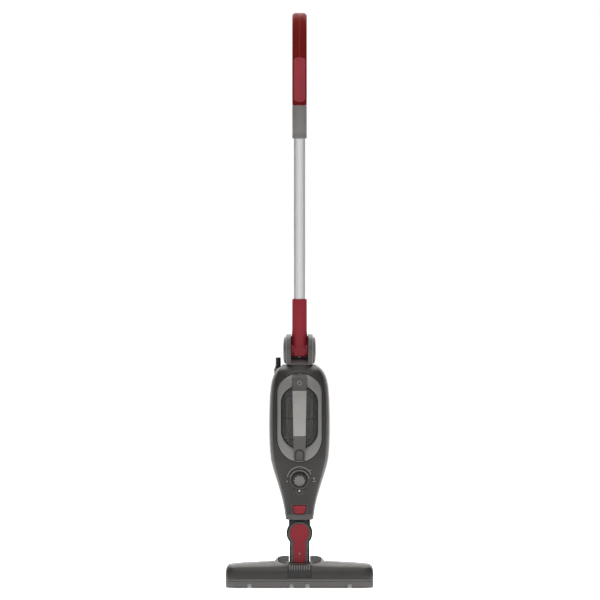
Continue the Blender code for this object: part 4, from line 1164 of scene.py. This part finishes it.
def makeRearShell():
    rear = bodyForm("rearShell", 0.0, paint["rearGrey"])
    shape(rear, *inside(halfSpace("rearSpace", 90.0, body["seamGap"])), crease=32.0)
    x, y = body["boot"]
    boss = turned("cordBoss", body["boss"], "Z", (x, y, 0.0))
    half, tall, middle = grilleSize()
    grille = prism("grilleCut", roundRect(half + 0.6, tall + 0.6, 5.0, (0, middle)), "Y", 20.0, 90.0)
    tools = shellHollow() + [grille, rod("bootHole", 4.3, "Z", (x, y, 0), 440.0, 480.0, None, 24)]
    for index, (sx, sz) in enumerate(body["screws"]):
        seat = bodyDepth(sx, sz, True) - 1.3
        profile = [(0, 12), (1.9, 12), (1.9, seat), (3.8, seat), (3.8, 90), (0, 90)]
        tools.append(turned(f"screwHole{index}", profile, "Y", (sx, 0, sz), None, 32))
    shape(rear, *(plus(boss) + minus(*tools)), solver="MANIFOLD", crease=32.0)
    rim = drape(roundRect(half + 1.3, tall + 1.3, 5.6, (0, middle)), -0.3, True)
    bead = tubeAlong("grilleBead", rim, 0.85, paint["rearGrey"], 10)
    mount(together("rearShellTrimmed", [rear, bead], 32.0), "body", "body_grey", "rear_shell")


def makeCaseSeal():
    # the dark joint line between the two shells
    share = (1.0 - body["seam"] ** body["power"]) ** (1.0 / body["power"])
    lines = []
    for side in (-1, 1):
        path = []
        for k in range(91):
            z = bodyLow + 5.0 + (bodyTop - bodyLow - 12.0) * k / 90
            half, deep = bodyAt(z)[:2]
            path.append((side * (half * share - 0.45), -body["seam"] * deep, z))
        lines.append(tubeAlong(f"caseSeal{side}", path, 0.75, paint["rubber"], closed=False))
    mount(together("caseSeal", lines, 60.0), "body", "rubber")


def grilleSize():
    low, high = extent("exhaust_grille")
    return (high.x - low.x) / 2, (high.z - low.z) / 2, (low.z + high.z) / 2


def makeGrille():
    half, tall, middle = grilleSize()
    outer = roundRect(half, tall, 4.5, (0, middle))
    inner = roundRect(half - 5.0, tall - 5.0, 3.0, (0, middle))
    rim = band("grilleRim", outer, inner, body["grilleRim"], paint["black"], True)
    depth = bodyDepth(0.0, middle, True)
    slat = []
    for i in range(33):
        x = (half - 4.0) * (i / 16 - 1)
        y = bodyDepth(x, middle, True) - depth
        slat.append([(x, y + up, rise) for rise, up in body["slat"]])
    slat = loft("grilleSlats", slat, paint["black"], crease=50.0)
    pitch, count = body["slatPitch"], body["slats"]
    slope = (bodyAt(middle + 15)[2] - bodyAt(middle - 15)[2]) / 30.0
    start = (0.0, depth - slope * pitch * (count - 1) / 2, middle - pitch * (count - 1) / 2)
    fillRow(slat, "slatRow", paint["black"], count, (0.0, slope * pitch, pitch), 50.0, Start=tiny(start))
    mount(together("exhaustGrille", [rim, slat], 45.0), "body", "black_plastic", "exhaust_grille")


def makeCaseScrews():
    seats = [(x, bodyDepth(x, z, True) - 1.2, z) for x, z in body["screws"]]
    group = screwGroup("caseScrews", seats, 3.2, 1.6, 1, 9)
    mount(group, "body", "steel", *[f"case_screw_{i}" for i in (1, 2, 3, 4)])


def makeBoot():
    low, high = extent("cord_outlet_boot")
    profile = [(0.0, low.z), (4.0, low.z)] + body["bootFoot"]
    ribs, base, top = body["bootRibs"], 457.2, high.z
    step = (top - 1.0 - base) / ribs
    for i in range(ribs):
        z, r = base + (top - 1.0 - base) * i / ribs, 5.6 - 0.35 * i / ribs
        profile += [(r - back, z + rise * step) for back, rise in
                    ((0.75, 0.0), (0.1, 0.25), (0.0, 0.5), (0.1, 0.72), (0.75, 0.95))]
    profile += [(4.6, top - 0.4), (4.2, top), (3.2, top), (3.2, 464.0), (0.0, 464.0)]
    boot = turned("cordBoot", profile, "Z", (*body["boot"], 0.0), paint["rubber"], 48, 60.0)
    mount(boot, "body", "black_plastic", "cord_outlet_boot")


def makeSpigot():
    rows = body["spigot"]
    rings = [level(roundRect(a, b, c, (0.0, d)), z) for a, b, c, d, z in rows]
    stem = loft("spigot", rings, paint["black"])
    radius = extent("spigot")[1].x
    drum = rod("spigotDrum", radius, "Y", (0, 0, neckRoll.z), -16.5, 13.5, None, 96, 1.0)
    airway = rod("spigotAirway", neck["airway"], "Z", (0, 0, 0), 60.0, 200.0)
    bore = rod("spigotBore", neck["bore"], "Y", (0, 0, neckRoll.z), -40.0, 40.0)
    shape(stem, *(plus(drum) + minus(airway, bore)), crease=35.0)
    mount(stem, "body", "black_plastic", "spigot")


for make in (makeFrontShell, makeRearShell, makeCaseSeal, makeGrille, makeCaseScrews, makeBoot, makeSpigot):
    make()
print("body shells ready")


# Dial, lamp and release button

def makeDial():
    dish = turned("dialDish", dial["dish"], "Z", material=paint["plateGrey"], steps=96)
    mount(onDial(dish), "body", "body_grey", "dial_base")
    shadow = turned("dialShade", dial["shade"], "Z", material=paint["black"], steps=96)
    mount(onDial(shadow), "body", "black_plastic")
    # painted highlight: a light strip along the upper half of the dish's rim
    sweep = level(arc((0.0, 0.0), 20.0, 8, 170, 54), 1.0)
    rimHighlight = tubeAlong("dialCrescent", sweep, 0.5, paint["markGrey"], closed=False)
    mount(onDial(rimHighlight), "body", "ring_grey")
    low, high, rings = dial["low"], dial["high"], []
    for inward, base, rise, share in dial["knob"]:
        ring, z = [], (high if base else low) + rise
        for a in circle(144):
            r = dial["radius"] - inward + dial["lobe"] * share * math.cos(dial["lobes"] * a)
            ring.append((r * math.cos(a), r * math.sin(a), z))
        rings.append(ring)
    knob = loft("knobBody", rings, paint["knobGrey"])
    pointer = raised("knobPointer", lambda i: roundRect(0.75 - i, 3.4 - i, 0.7 - i * 0.8, (0.0, 6.6), 5), "Z",
                     high - 1.4, high + 0.15, 0.3, paint["knobGrey"], 3)
    mount(onDial(together("dialKnob", [knob, pointer], 45.0)), "dial", "knob_grey", "dial_knob")


def printedStrip(name, points, width):
    # a thin printed line on the body along points given from the front
    rings = []
    for i, (x, z) in enumerate(points):
        before, after = points[max(i - 1, 0)], points[min(i + 1, len(points) - 1)]
        along = (Vector(after) - Vector(before)).normalized()
        across = Vector((-along.y, along.x)) * width / 2
        rings.append([
            onBody(x + across.x * side, z + across.y * side, lift * printLift if lift > 0 else lift)
            for side, lift in ((-1, -0.3), (-1, 0.6), (-0.7, 1.0), (0.7, 1.0), (1, 0.6), (1, -0.3))
        ])
    return loft(name, rings, paint["markGrey"], crease=50.0)


def printedDot(name, x, z, radius):
    rings = []
    for share, lift in ((0.0, -0.4), (0.0, printLift * 0.6), (0.1, printLift), (0.6, printLift)):
        r = radius - radius * share
        rings.append(drape([(x + r * math.cos(a), z + r * math.sin(a)) for a in circle(32)], lift))
    return loft(name, rings, paint["markGrey"], crease=50.0)


def makeMarks():
    radius, middle, width = dial["arcRadius"], dial["arcMiddle"], dial["arcWidth"]
    marks = [printedStrip("dialArc", arc((0.0, middle), radius, 172.0, 22.0, 60), width)]
    turn = math.radians(dial["tickTurn"])
    reach = (radius + 1.6, radius + 3.2, radius + 5.0)
    tick = [(math.cos(turn) * r, middle + math.sin(turn) * r) for r in reach]
    marks.append(printedStrip("dialTick", tick, width * 1.2))
    for index, (x, z, size) in enumerate(dial["dots"]):
        marks.append(printedDot(f"dialDot{index}", x, middle + z, size))
    mount(together("dialMarks", marks, 50.0), "body", "ring_grey")


def makeLamp():
    z = body["lampZ"]
    surface, inner = bodyDepth(0.0, z), extent("lamp_lens")[1].y
    bulge = ((2.2, 0.1), (2.1, -0.4), (1.7, -0.85), (1.1, -1.15), (0.0, -1.3))
    profile = [(0.0, inner), (2.2, inner)] + [(r, surface + y) for r, y in bulge]
    lens = turned("lampLens", profile, "Y", (0, 0, z), paint["lamp"], 40)
    mount(lens, "body", "lamp", "lamp_lens")
    outer, clear, halo = body["lampRings"]
    tear, hole = [], []
    for a in circle(48):
        # the surround is drawn out to a point below the lamp
        low = max(-math.sin(a), 0.0)
        thin, long = 1.0 - 0.15 * low, 1.0 + 0.75 * low ** 3
        tear.append((outer * math.cos(a) * thin, z - 0.4 + outer * math.sin(a) * long))
        hole.append((clear * math.cos(a), z + clear * math.sin(a)))
    section = [(0.0, -0.4), (0.0, 0.1), (0.25, 0.32), (0.8, 0.32), (1.0, 0.1), (1.0, -0.4)]
    mount(band("lampSurround", tear, hole, section, paint["black"]), "body", "black_plastic")
    dots = [printedDot(f"haloDot{k}", halo * math.cos(a), z - 0.6 + halo * math.sin(a), 0.35)
            for k, a in enumerate(circle(22))]
    mount(together("lampHalo", dots, 50.0), "body", "ring_grey")


def makeRelease():
    # a button that follows the body, with a rounded rim and a hollow face
    edge, lift, inner, dip, steps = 1.4, 0.7, 6.5, -0.5, 6
    rows = [(inset, lift - drop) for inset, drop in rounding(edge, steps)]
    for k in range(1, steps + 1):
        rows.append((edge + (inner - edge) * k / steps, lift + dip * math.sin(math.pi / 2 * k / steps)))
    rings = [upright(releaseOutline(0.0), extent("nozzle_release_button")[1].y)]
    rings += [drape(releaseOutline(inset), height) for inset, height in rows]
    button = loft("nozzleRelease", rings, paint["red"])
    mount(button, "nozzle_button", "red_plastic", "nozzle_release_button")
    rim = tubeAlong("releaseRim", drape(releaseOutline(-0.9), -0.45), 0.8, paint["black"])
    mount(rim, "body", "black_plastic")
    halo = tubeAlong("releaseHalo", drape(releaseOutline(-2.6), -0.35), 0.75, paint["plateGrey"])
    mount(halo, "body", "body_grey")


for make in (makeDial, makeMarks, makeLamp, makeRelease):
    make()
print("dial ready")


# Container, filter and strap

box = {
    "wall": 2.2, "rear": 4.0, "face": 2.3, "rim": 1.6, "pleats": 14, "pleatDepth": 20.0,
    # share across the ring, lift
    "ringSection": (
        (0.0, -2.0), (0.0, -0.5), (0.03, 0.0), (0.10, 0.35), (0.3, 0.4), (0.7, 0.4), (0.86, 0.25),
        (0.95, -0.4), (1.0, -1.2), (1.0, -2.0),
    ),
    # y of the strap's outer face and height, from its top end to its foot
    "strap": (
        (-54.4, 434.5), (-58.5, 429.5), (-66.5, 421.0), (-71.5, 412.0), (-74.2, 403.5), (-76.3, 391.0),
        (-77.0, 378.0), (-77.0, 360.0), (-77.0, 343.0), (-76.2, 329.0), (-75.0, 316.5),
    ),
    "strapFoot": (
        (-75.0, 316.5), (-74.2, 314.2), (-72.5, 310.5), (-70.0, 305.0), (-67.5, 292.0), (-65.4, 279.0),
    ),
    "strapEnds": (443.0, 263.0), "strapHalf": (15.8, 11.8), "strapEdge": 2.0, "strapThick": 5.5,
    "bridge": (433.0, 297.0), "ringMark": (3.7, 424.5), "levelZ": 351.0, "paneMiddle": 352.0,
    "pill": (7.9, 286.2, 278.3, 272.3, 264.8),
}


def cupRing(inset, y):
    return upright(lozenge(body["bay"], inset), y)


def faceRing(inset, depth):
    return [(x, -abs(bodyDepth(x, z)) + depth, z) for x, z in lozenge(body["bay"], inset)]


def makeTub():
    # inner wall from the face back to the rear, then the outer wall forward again to the face
    wall, rear, face, rim = box["wall"], box["rear"], box["face"], box["rim"]
    steps = (30.0, 22.0, 14.0, 8.0, 5.0, 3.5)
    rings = [faceRing(inset + wall, face + wall) for inset in steps]
    rings += [faceRing(wall + 0.1, face + wall + depth) for depth in (1.2, 2.6, 6.0, 14.0)]
    rings += [cupRing(wall, -10.0), cupRing(wall, rear - 0.5), cupRing(wall - 0.5, rear), cupRing(0.5, rear),
              cupRing(0.0, rear - 0.5), cupRing(0.0, -10.0)]
    rings += [faceRing(0.1, face + depth) for depth in (14.0, 6.0)]
    rings += [faceRing(0.1 + inset, face + drop) for inset, drop in rounding(rim, 4)]
    rings += [faceRing(inset, face) for inset in reversed(steps)]
    mount(loft("containerTub", rings, paint["smokedClear"]), "container", "clear_plastic", "container_tub")


def makeBezel():
    bay, pane = body["bay"], body["pane"]
    outline, inner = lozenge(bay, 0.0), []
    for x, z in outline:
        # the nearest way in from each place on the outer edge
        if z > bay[2]:
            way = pane[2] + (z - bay[2]) * (pane[1] - pane[2]) / (bay[1] - bay[2])
        elif z < bay[3]:
            way = pane[3] - (bay[3] - z) * (pane[3] - pane[4]) / (bay[3] - bay[4])
        else:
            way = pane[3] + (z - bay[3]) / (bay[2] - bay[3]) * (pane[2] - pane[3])
        inner.append((x * pane[0] / bay[0], way))
    ring = band("windowRing", outline, inner, box["ringSection"], paint["ringWeave"])
    mount(ring, "container", "ring_grey", "window_bezel")
    # a dark seal shows between the ring and the pane, and another round the container
    edge = [(x * 0.985, z + (box["paneMiddle"] - z) * 0.012) for x, z in inner]
    mount(tubeAlong("paneSeal", drape(edge, -1.1), 0.8, paint["rubber"]), "container", "rubber")
    line = drape([(x, box["levelZ"]) for x in range(-37, 38)], -2.2)
    mount(tubeAlong("levelLine", line, 0.7, paint["black"], closed=False), "container", "black_plastic")
    gasket = drape(lozenge(bay, -1.0), -0.7)
    mount(tubeAlong("baySeal", gasket, 1.2, paint["rubber"]), "body", "rubber")


def makeLid():
    rings = [cupRing(inset, y) for inset, y in ((1.2, 4.3), (0.2, 4.9), (0.2, 6.4), (0.8, 7.0))]
    lid = loft("containerLid", rings, paint["black"])
    shape(lid, *minus(rod("lidInlet", 8.0, "Y", (0, 0, 296.0), 0.0, 20.0)))
    mount(lid, "container", "black_plastic", "container_lid")


def makeFilter():
    low, high = extent("filter_frame")
    middle, half, tall = (low.z + high.z) / 2, (high.x - low.x) / 2, (high.z - low.z) / 2
    rings = []
    for inset, y in ((2.5, 0.0), (2.5, low.y + 1.0), (1.8, low.y), (0.9, low.y), (0.0, low.y + 1.0),
                     (0.0, high.y - 1.0), (0.8, high.y)):
        outline = roundRect(half - inset, tall - inset, 8.0 - inset, (0, middle))
        rings.append(upright(outline, y))
    shell = loft("filterFrame", rings, paint["frameGrey"])
    shape(shell, *minus(rod("frameOutlet", 15.0, "Y", (0, 0, middle), -10.0, 20.0)))
    width, depth = (-half + 1.0, half - 1.0), (low.y + 0.4, low.y + 1.4)
    ribs = [block(f"frameRib{z:.0f}", width, depth, (z - 0.8, z + 0.8), paint["frameGrey"])
            for z in (middle - 26.0, middle, middle + 26.0)]
    mount(together("filterCage", [shell] + ribs), "container", "ring_grey", "filter_frame")
    low, high = extent("filter_element")
    count = box["pleats"]
    pitch = (high.x - low.x) / count
    root = -4.5
    fold, side = root - box["pleatDepth"], pitch / 2
    outline = [(x * 0.35, fold - 0.7 * y) for x, y in arc((0.0, 0.0), 1.0, 0, 180, 6)]
    outline += [(-side + 0.2, root), (-side + 0.02, root + 0.3), (-side + 0.02, -1.0)]
    outline += [(side - 0.02, -1.0), (side - 0.02, root + 0.3), (side - 0.2, root)]
    pleat = prism("filterPleats", outline, "Z", low.z, high.z, paint["filterPaper"])
    fillRow(pleat, "pleatRow", paint["filterPaper"], count, (pitch, 0, 0), 30.0)
    mount(pleat, "container", "filter_paper", "filter_element")


def strapHalf(z):
    top, foot = box["strapEnds"]
    wide, narrow = box["strapHalf"]
    return narrow + (z - foot) * (wide - narrow) / (top - foot)


def pathY(path, z):
    # the y of a falling path at a height
    return next(y0 + (y1 - y0) * (z0 - z) / (z0 - z1)
                for (y0, z0), (y1, z1) in zip(path, path[1:]) if z0 >= z >= z1)


def strapRing(y, z):
    # one section of the strap: flat behind, rounded at both edges and slightly crowned in front
    half, surface = strapHalf(z), bodyDepth(0.0, z) - 0.7
    bridge = box["bridge"][0] > z > box["bridge"][1]
    under = min(y + box["strapThick"], surface) if bridge else surface
    soft = min(box["strapEdge"], max((under - y) * 0.45, 0.05))
    corner = [(half - 0.4, under), (half, under - min(0.4, soft * 0.3))]
    corner += [(half - inset, y + drop) for inset, drop in rounding(soft)]
    crown = [(-half * share, y - 0.35 * (1 - share * share) * min(1.0, soft))
             for share in (0.55, 0.0, -0.55)]
    left = [(-x, depth) for x, depth in corner]
    return [(x, depth, z) for x, depth in left + crown + corner[::-1]]


def makeStrap():
    top, foot = box["strapEnds"]
    upper = [tuple(row) for row in smoothRows(box["strap"], 5)]
    lower = [tuple(row) for row in smoothRows(box["strapFoot"], 5)]
    path = [(bodyDepth(0, top) - 0.7, top), (bodyDepth(0, top - 1.0) - 1.6, top - 0.6), (-47.5, 439.7)]
    path += upper + lower[1:]
    path += [(-63.5, 270.5), (-60.5, 265.6), (-56.0, foot + 0.1), (bodyDepth(0, foot) - 0.7, foot)]
    strap = loft("strapHandle", [strapRing(*row) for row in path], paint["strapGrey"], crease=28.0)
    well = prism("buttonWell", lozenge(box["pill"], -0.55, 24), "Y", -90.0, -57.6)
    shape(strap, *minus(well), solver="MANIFOLD", crease=28.0)
    # painted shade: the strap's top end and side faces are painted dark, and its front-facing foot a mid grey
    repaint(strap, paint["strapPaintedShade"], lambda at, way: at.z > 408.0 or abs(way.x) > 0.75)
    repaint(strap, paint["plateGrey"], lambda at, way: at.z < 315.8 and abs(way.x) <= 0.75)
    rim = [(x, pathY(path, z) - 0.05, z) for x, z in lozenge(box["pill"], -1.4, 24)]
    bead = tubeAlong("pillBead", rim, 0.65, paint["black"])
    mount(together("strapBridge", [strap, bead], 28.0), "container", "strap_grey", "strap_handle")
    # the button's face leans as the strap does, and is slightly hollow
    rings = [upright(lozenge(box["pill"], 0.0, 24), -61.2)]
    for inset, drop in rounding(1.3) + [(2.0, 0.0), (2.6, 0.35), (4.0, 0.7), (6.0, 0.8)]:
        rings.append([(x, -67.2 + (z - 262.0) * (1.7 / 28.0) + drop, z)
                      for x, z in lozenge(box["pill"], inset, 24)])
    key = loft("containerRelease", rings, paint["plateGrey"])
    mount(key, "container_key", "strap_grey", "container_release_button")
    radius, middle = box["ringMark"]
    places = [(radius * math.cos(a), middle + radius * math.sin(a)) for a in circle(48)]
    places = [(x, pathY(path, z) - 0.25, z) for x, z in places]
    mount(tubeAlong("strapRingMark", places, 0.45, paint["markGrey"]), "container", "strap_grey")


for make in (makeTub, makeBezel, makeLid, makeFilter, makeStrap):
    make()
print("container ready")


# Fold yoke, tube and grip

foldPlace = Vector(joint("handle_fold")["pos_m"]) / mm
tubeLow, tubeHigh = extent("handle_tube")
collarLow, collarHigh = extent("grip_collar")
handle = {
    "cheekIn": 17.8, "cheekOut": 27.5, "yokeRadius": 33.0, "barrel": 14.0, "tube": tubeHigh.x,
    "sleeve": 15.3, "snapZ": 580.0, "lockZ": 482.0, "collarScrewZ": 962.0, "gripHalf": 15.0,
    "stemTop": 1002.3, "pinBore": 4.3,
    "slot": ((16.5, 560.0), (16.5, 474.0), (2.0, 474.0), (-27.0, 463.5), (-60.0, 450.0), (-60.0, 560.0)),
    # half width, half depth, corner, height
    "socket": (
        (17.4, 13.0, 12.0, foldPlace.z), (17.4, 13.4, 12.6, 499.0), (17.2, 14.0, 13.0, 508.0),
        (16.4, 14.6, 14.0, 519.0),
    ),
    # radius and height of each profile
    "cap": (
        (0.0, 0.3), (27.2, 0.3), (28.0, 0.9), (28.0, 1.9), (27.6, 2.7), (26.0, 3.9), (23.0, 4.9), (18.0, 5.7),
        (17.0, 5.7), (16.6, 5.3), (16.0, 5.3), (15.6, 5.9), (9.0, 6.4), (0.0, 6.5),
    ),
    "lock": (
        (0, 17.2), (4.0, 17.2), (4.0, 24.0), (6.0, 24.0), (6.0, 33.4), (5.7, 34.2), (5.0, 34.75), (3.6, 34.6),
        (2.6, 34.1), (0, 33.9),
    ),
    "snap": ((0, 8.0), (3.8, 8.0), (3.8, 15.4), (3.5, 16.1), (2.8, 16.6), (1.6, 16.85), (0, 16.9)),
    "collarLow": (
        (13.9, 0.0), (14.5, 0.25), (14.95, 0.9), (15.1, 1.8), (15.1, 9.0), (14.85, 9.4), (14.85, 10.2),
        (15.1, 10.6),
    ),
    "inlay": (12.0, 1097.5, 1092.0, 1014.0, 1003.0),
    # outer and inner place of the loop, as y and z pairs
    "loop": (
        (-12, 1052, 12, 1056), (-12, 1098, 12, 1098), (-8, 1130, 15, 1126), (0, 1158, 21, 1148),
        (12, 1177, 30, 1159), (30, 1187.5, 38, 1163), (50, 1187.5, 46, 1162), (68, 1178, 52, 1155),
        (77, 1158, 54, 1142), (78, 1130, 53, 1120), (72, 1085, 48, 1092), (60, 1045, 38, 1068),
        (40, 1012, 27, 1049), (12, 1001, 19, 1041), (-8, 1010, 13, 1044),
    ),
}


def makeYoke():
    z, out, edge, rings = foldPlace.z, handle["cheekOut"], 2.2, []
    for k in range(-5, 6):
        # both cheeks' outer rims are rounded, and the places between them are straight
        turn = math.pi / 2 * abs(k) / 5
        rim = abs(k) > 2
        inset = edge * (1 - math.cos(turn)) if rim else 0.0
        x = math.copysign(out - edge + edge * math.sin(turn), k) if rim else (out - 2.6) * k / 2
        outline = [(-26.5 + inset, bodyTop + 0.3), (26.5 - inset, bodyTop + 0.3)]
        outline += arc((0.0, z), handle["yokeRadius"] - inset, -28, 208, 72)
        rings.append([(x, u, v) for u, v in outline])
    yoke = loft("foldYoke", rings, paint["plateGrey"])
    slot = prism("yokeSlot", handle["slot"], "X", -handle["cheekIn"], handle["cheekIn"])
    bore = rod("yokeBore", handle["pinBore"], "X", foldPlace, -60.0, 60.0)
    lock = rod("lockBore", 6.4, "Y", (0, 0, handle["lockZ"]), 10.0, 60.0)
    stud = rod("yokeStud", 9.0, "Z", (0, 0, 0), 452.0, 468.0)
    shape(yoke, *(plus(stud) + minus(slot, bore, lock)), crease=35.0)
    # painted highlight: the slot floor between the cheeks is painted a lighter grey against the shade there
    repaint(yoke, paint["ringGrey"], lambda at, way: abs(at.x) < 17.7 and 462.0 < at.z < 474.5
            and way.z > 0.5)
    parts = [yoke]
    for side in (-1, 1):
        # the inner lip of each cheek
        lip = arc((0.0, z), handle["yokeRadius"] + 0.1, 60, 195, 60)
        lip = [(side * (handle["cheekIn"] + 0.6), u, v) for u, v in lip]
        parts.append(tubeAlong(f"yokeLip{side}", lip, 0.7, paint["plateGrey"], closed=False))
    mount(together("foldYokeLipped", parts, 35.0), "body", "body_grey", "fold_yoke")
    for side, word in ((-1, "Left"), (1, "Right")):
        profile = [(r, side * (out + h)) for r, h in handle["cap"]]
        cap = turned("pivotCap" + word, profile, "X", foldPlace, paint["rearGrey"], 96)
        mount(cap, "body", "body_grey", "pivot_cap_" + word.lower())
    lock = turned("foldLockButton", handle["lock"], "Y", (0, 0, handle["lockZ"]), paint["red"], 48)
    mount(lock, "fold_lock", "red_plastic", "fold_lock_button")


def snapHole(name):
    return rod(name, 4.3, "Y", (0, 0, handle["snapZ"]), 5.0, 40.0, None, 32)


def makeSocket():
    top, sleeve = extent("tube_socket")[1].z, handle["sleeve"]
    rows = smoothRows(handle["socket"] + ((sleeve, sleeve, sleeve - 0.2, 532.0),), 4)
    for inset, corner, drop in ((0.0, 0.2, 1.3), (0.4, 0.6, 0.35), (1.2, 1.4, 0.0)):
        rows.append((sleeve - inset, sleeve - inset, sleeve - corner, top - drop))
    rings = [level(roundRect(a, b, c, steps=12), z) for a, b, c, z in rows]
    socket = loft("tubeSocket", rings, paint["red"])
    barrel = rod("socketBarrel", handle["barrel"], "X", foldPlace, -17.4, 17.4, None, 72, 1.2)
    bore = rod("socketBore", handle["tube"] + 0.3, "Z", (0, 0, 0), 515.0, 640.0, None, 64)
    pinBore = rod("socketPinBore", handle["pinBore"], "X", foldPlace, -40.0, 40.0)
    shape(socket, *(plus(barrel) + minus(bore, pinBore, snapHole("snapHole"))), crease=32.0)
    mount(socket, "handle", "red_plastic", "tube_socket")
    # the raised face panel below the sleeve, with round lower corners
    half, corner, rings = 12.6, 4.0, []
    for inset, lift in ((0.0, -1.5), (0.0, 0.2), (0.3, 0.6), (0.9, 0.8), (2.5, 0.8)):
        outline = [(-half + inset, 497.0), (half - inset, 497.0)]
        outline += arc((half - corner, 483.4), corner - inset, 0, -90, 8)
        outline += arc((-half + corner, 483.4), corner - inset, -90, -180, 8)
        ring = []
        for x, z in outline:
            reach = math.sqrt(max(handle["barrel"] ** 2 - (z - foldPlace.z) ** 2, 1.0))
            ring.append((x, -max(reach, 12.9) - lift, z))
        rings.append(ring)
    mount(loft("socketPanel", rings, paint["red"], crease=50.0), "handle", "red_plastic")


def makeTube():
    outer, inner = handle["tube"], handle["tube"] - 1.2
    low, high = tubeLow.z, tubeHigh.z
    profile = [(inner, low + 0.3), (inner + 0.3, low), (outer - 0.3, low), (outer, low + 0.3)]
    profile += [(outer, low + (high - low) * k / 24) for k in range(1, 24)]
    profile += [(outer, high - 0.3), (outer - 0.3, high), (inner + 0.3, high), (inner, high - 0.3)]
    tube = turned("handleTube", profile, "Z", material=paint["aluminium"], steps=96)
    shape(tube, *minus(snapHole("tubeSnapHole")), crease=35.0)
    mount(tube, "handle", "tube_aluminium", "handle_tube")
    snap = turned("snapButton", handle["snap"], "Y", (0, 0, handle["snapZ"]), paint["steel"], 40)
    mount(snap, "snap_button", "steel", "tube_snap_button")
    low, high, bore = collarLow.z, collarHigh.z, handle["tube"] + 0.3
    profile = [(bore, low + 0.3), (bore + 0.3, low)] + [(r, low + rise) for r, rise in handle["collarLow"]]
    profile += [(15.1, high - 0.9), (14.8, high - 0.25), (14.3, high), (bore, high)]
    collar = turned("gripCollar", profile, "Z", material=paint["collarGrey"], steps=96)
    screwZ = handle["collarScrewZ"]
    shape(collar, *minus(rod("collarScrewHole", 2.1, "Y", (0, 0, screwZ), 5.0, 40.0, None, 28)), crease=35.0)
    mount(collar, "handle", "collar_grey", "grip_collar")
    seat = (0.0, extent("collar_screw")[1].y - 1.3, screwZ)
    mount(screwGroup("collarScrew", [seat], 1.8, 1.3, 1, 7), "handle", "steel", "collar_screw")


def gripLoop(name):
    rings = []
    for yo, zo, yi, zi in smoothRows(handle["loop"], 9, closed=True):
        out, into = Vector((0, yo, zo)), Vector((0, yi, zi))
        middle, reach = (out + into) / 2, (out - into) / 2
        section = roundRect(handle["gripHalf"], reach.length, min(7.0, reach.length - 0.5), steps=9)
        rings.append([middle + Vector((x, 0.0, 0.0)) + reach.normalized() * h for x, h in section])
    loop = loft(name, rings, paint["gripRed"], True, 50.0)
    # the stem between the collar and the loop: shares of its round outline, and height
    low, ring = collarHigh.z + 0.3, arc((0.0, 0.0), 15.0, 0, 355, 71)
    rows = ((0.96, 0.96, low), (0.99, 0.99, low + 0.4), (1.0, 1.0, low + 1.1), (1.0, 1.0, 1006.0),
            (0.94, 0.72, 1040.0))
    stem = loft(name + "Stem", [[(x * wide, y * deep, z) for x, y in ring] for wide, deep, z in rows])
    return shape(loop, *plus(stem), crease=50.0)


def makeGrip():
    halves = (("gripLeft", "grip_left", -40.0, -0.02), ("gripRight", "grip_right", 0.02, 40.0))
    for name, node, low, high in halves:
        half = gripLoop(name)
        bore = rod(name + "Bore", handle["tube"] + 0.3, "Z", (0, 0, 0), 980.0, handle["stemTop"])
        seat = prism(name + "Seat", lozenge(handle["inlay"], -0.35, 20), "Y", -40.0, -10.6)
        side = block(name + "Side", (low, high), (-60.0, 120.0), (900.0, 1300.0))
        shape(half, *(minus(bore, seat) + inside(side)))
        mount(half, "handle", "red_plastic", node)
    low, high = extent("grip_inlay")
    rings = [upright(lozenge(handle["inlay"], 0.0, 20), high.y)]
    for inset, drop in rounding(1.4) + [(3.0, 0.0), (5.0, 0.0), (8.0, 0.0), (10.5, 0.0)]:
        rings.append([(x, low.y + drop + 0.004 * x * x, z) for x, z in lozenge(handle["inlay"], inset, 20)])
    # the inlay is its own part, painted a paler red than the grip as a painted reflection on its lower front
    mount(loft("gripInlay", rings, paint["inlayRed"]), "handle", "red_plastic", "grip_inlay")


for make in (makeYoke, makeSocket, makeTube, makeGrip):
    make()
print("handle ready")


# Working parts that keep their CAD shape

kept = {
    "black": (
        "head_base", "suction_duct", "drum_cradle", "bearing_cap_left", "bearing_cap_right", "container_bay",
        "inlet_duct", "fan_housing", "fan_rotor",
    ),
    "tape": ("hook_strip_front", "hook_strip_rear"), "steel": ("dial_potentiometer", "motor", "fold_pin"),
    "filterPaper": ("exhaust_filter",), "board": ("control_board",), "rubber": ("lid_gasket",),
}
for finish, nodes in kept.items():
    for node in nodes:
        materials = frame["nodes"][node].data.materials
        materials.clear()
        materials.append(paint[finish])
print("finishes on the working parts ready")
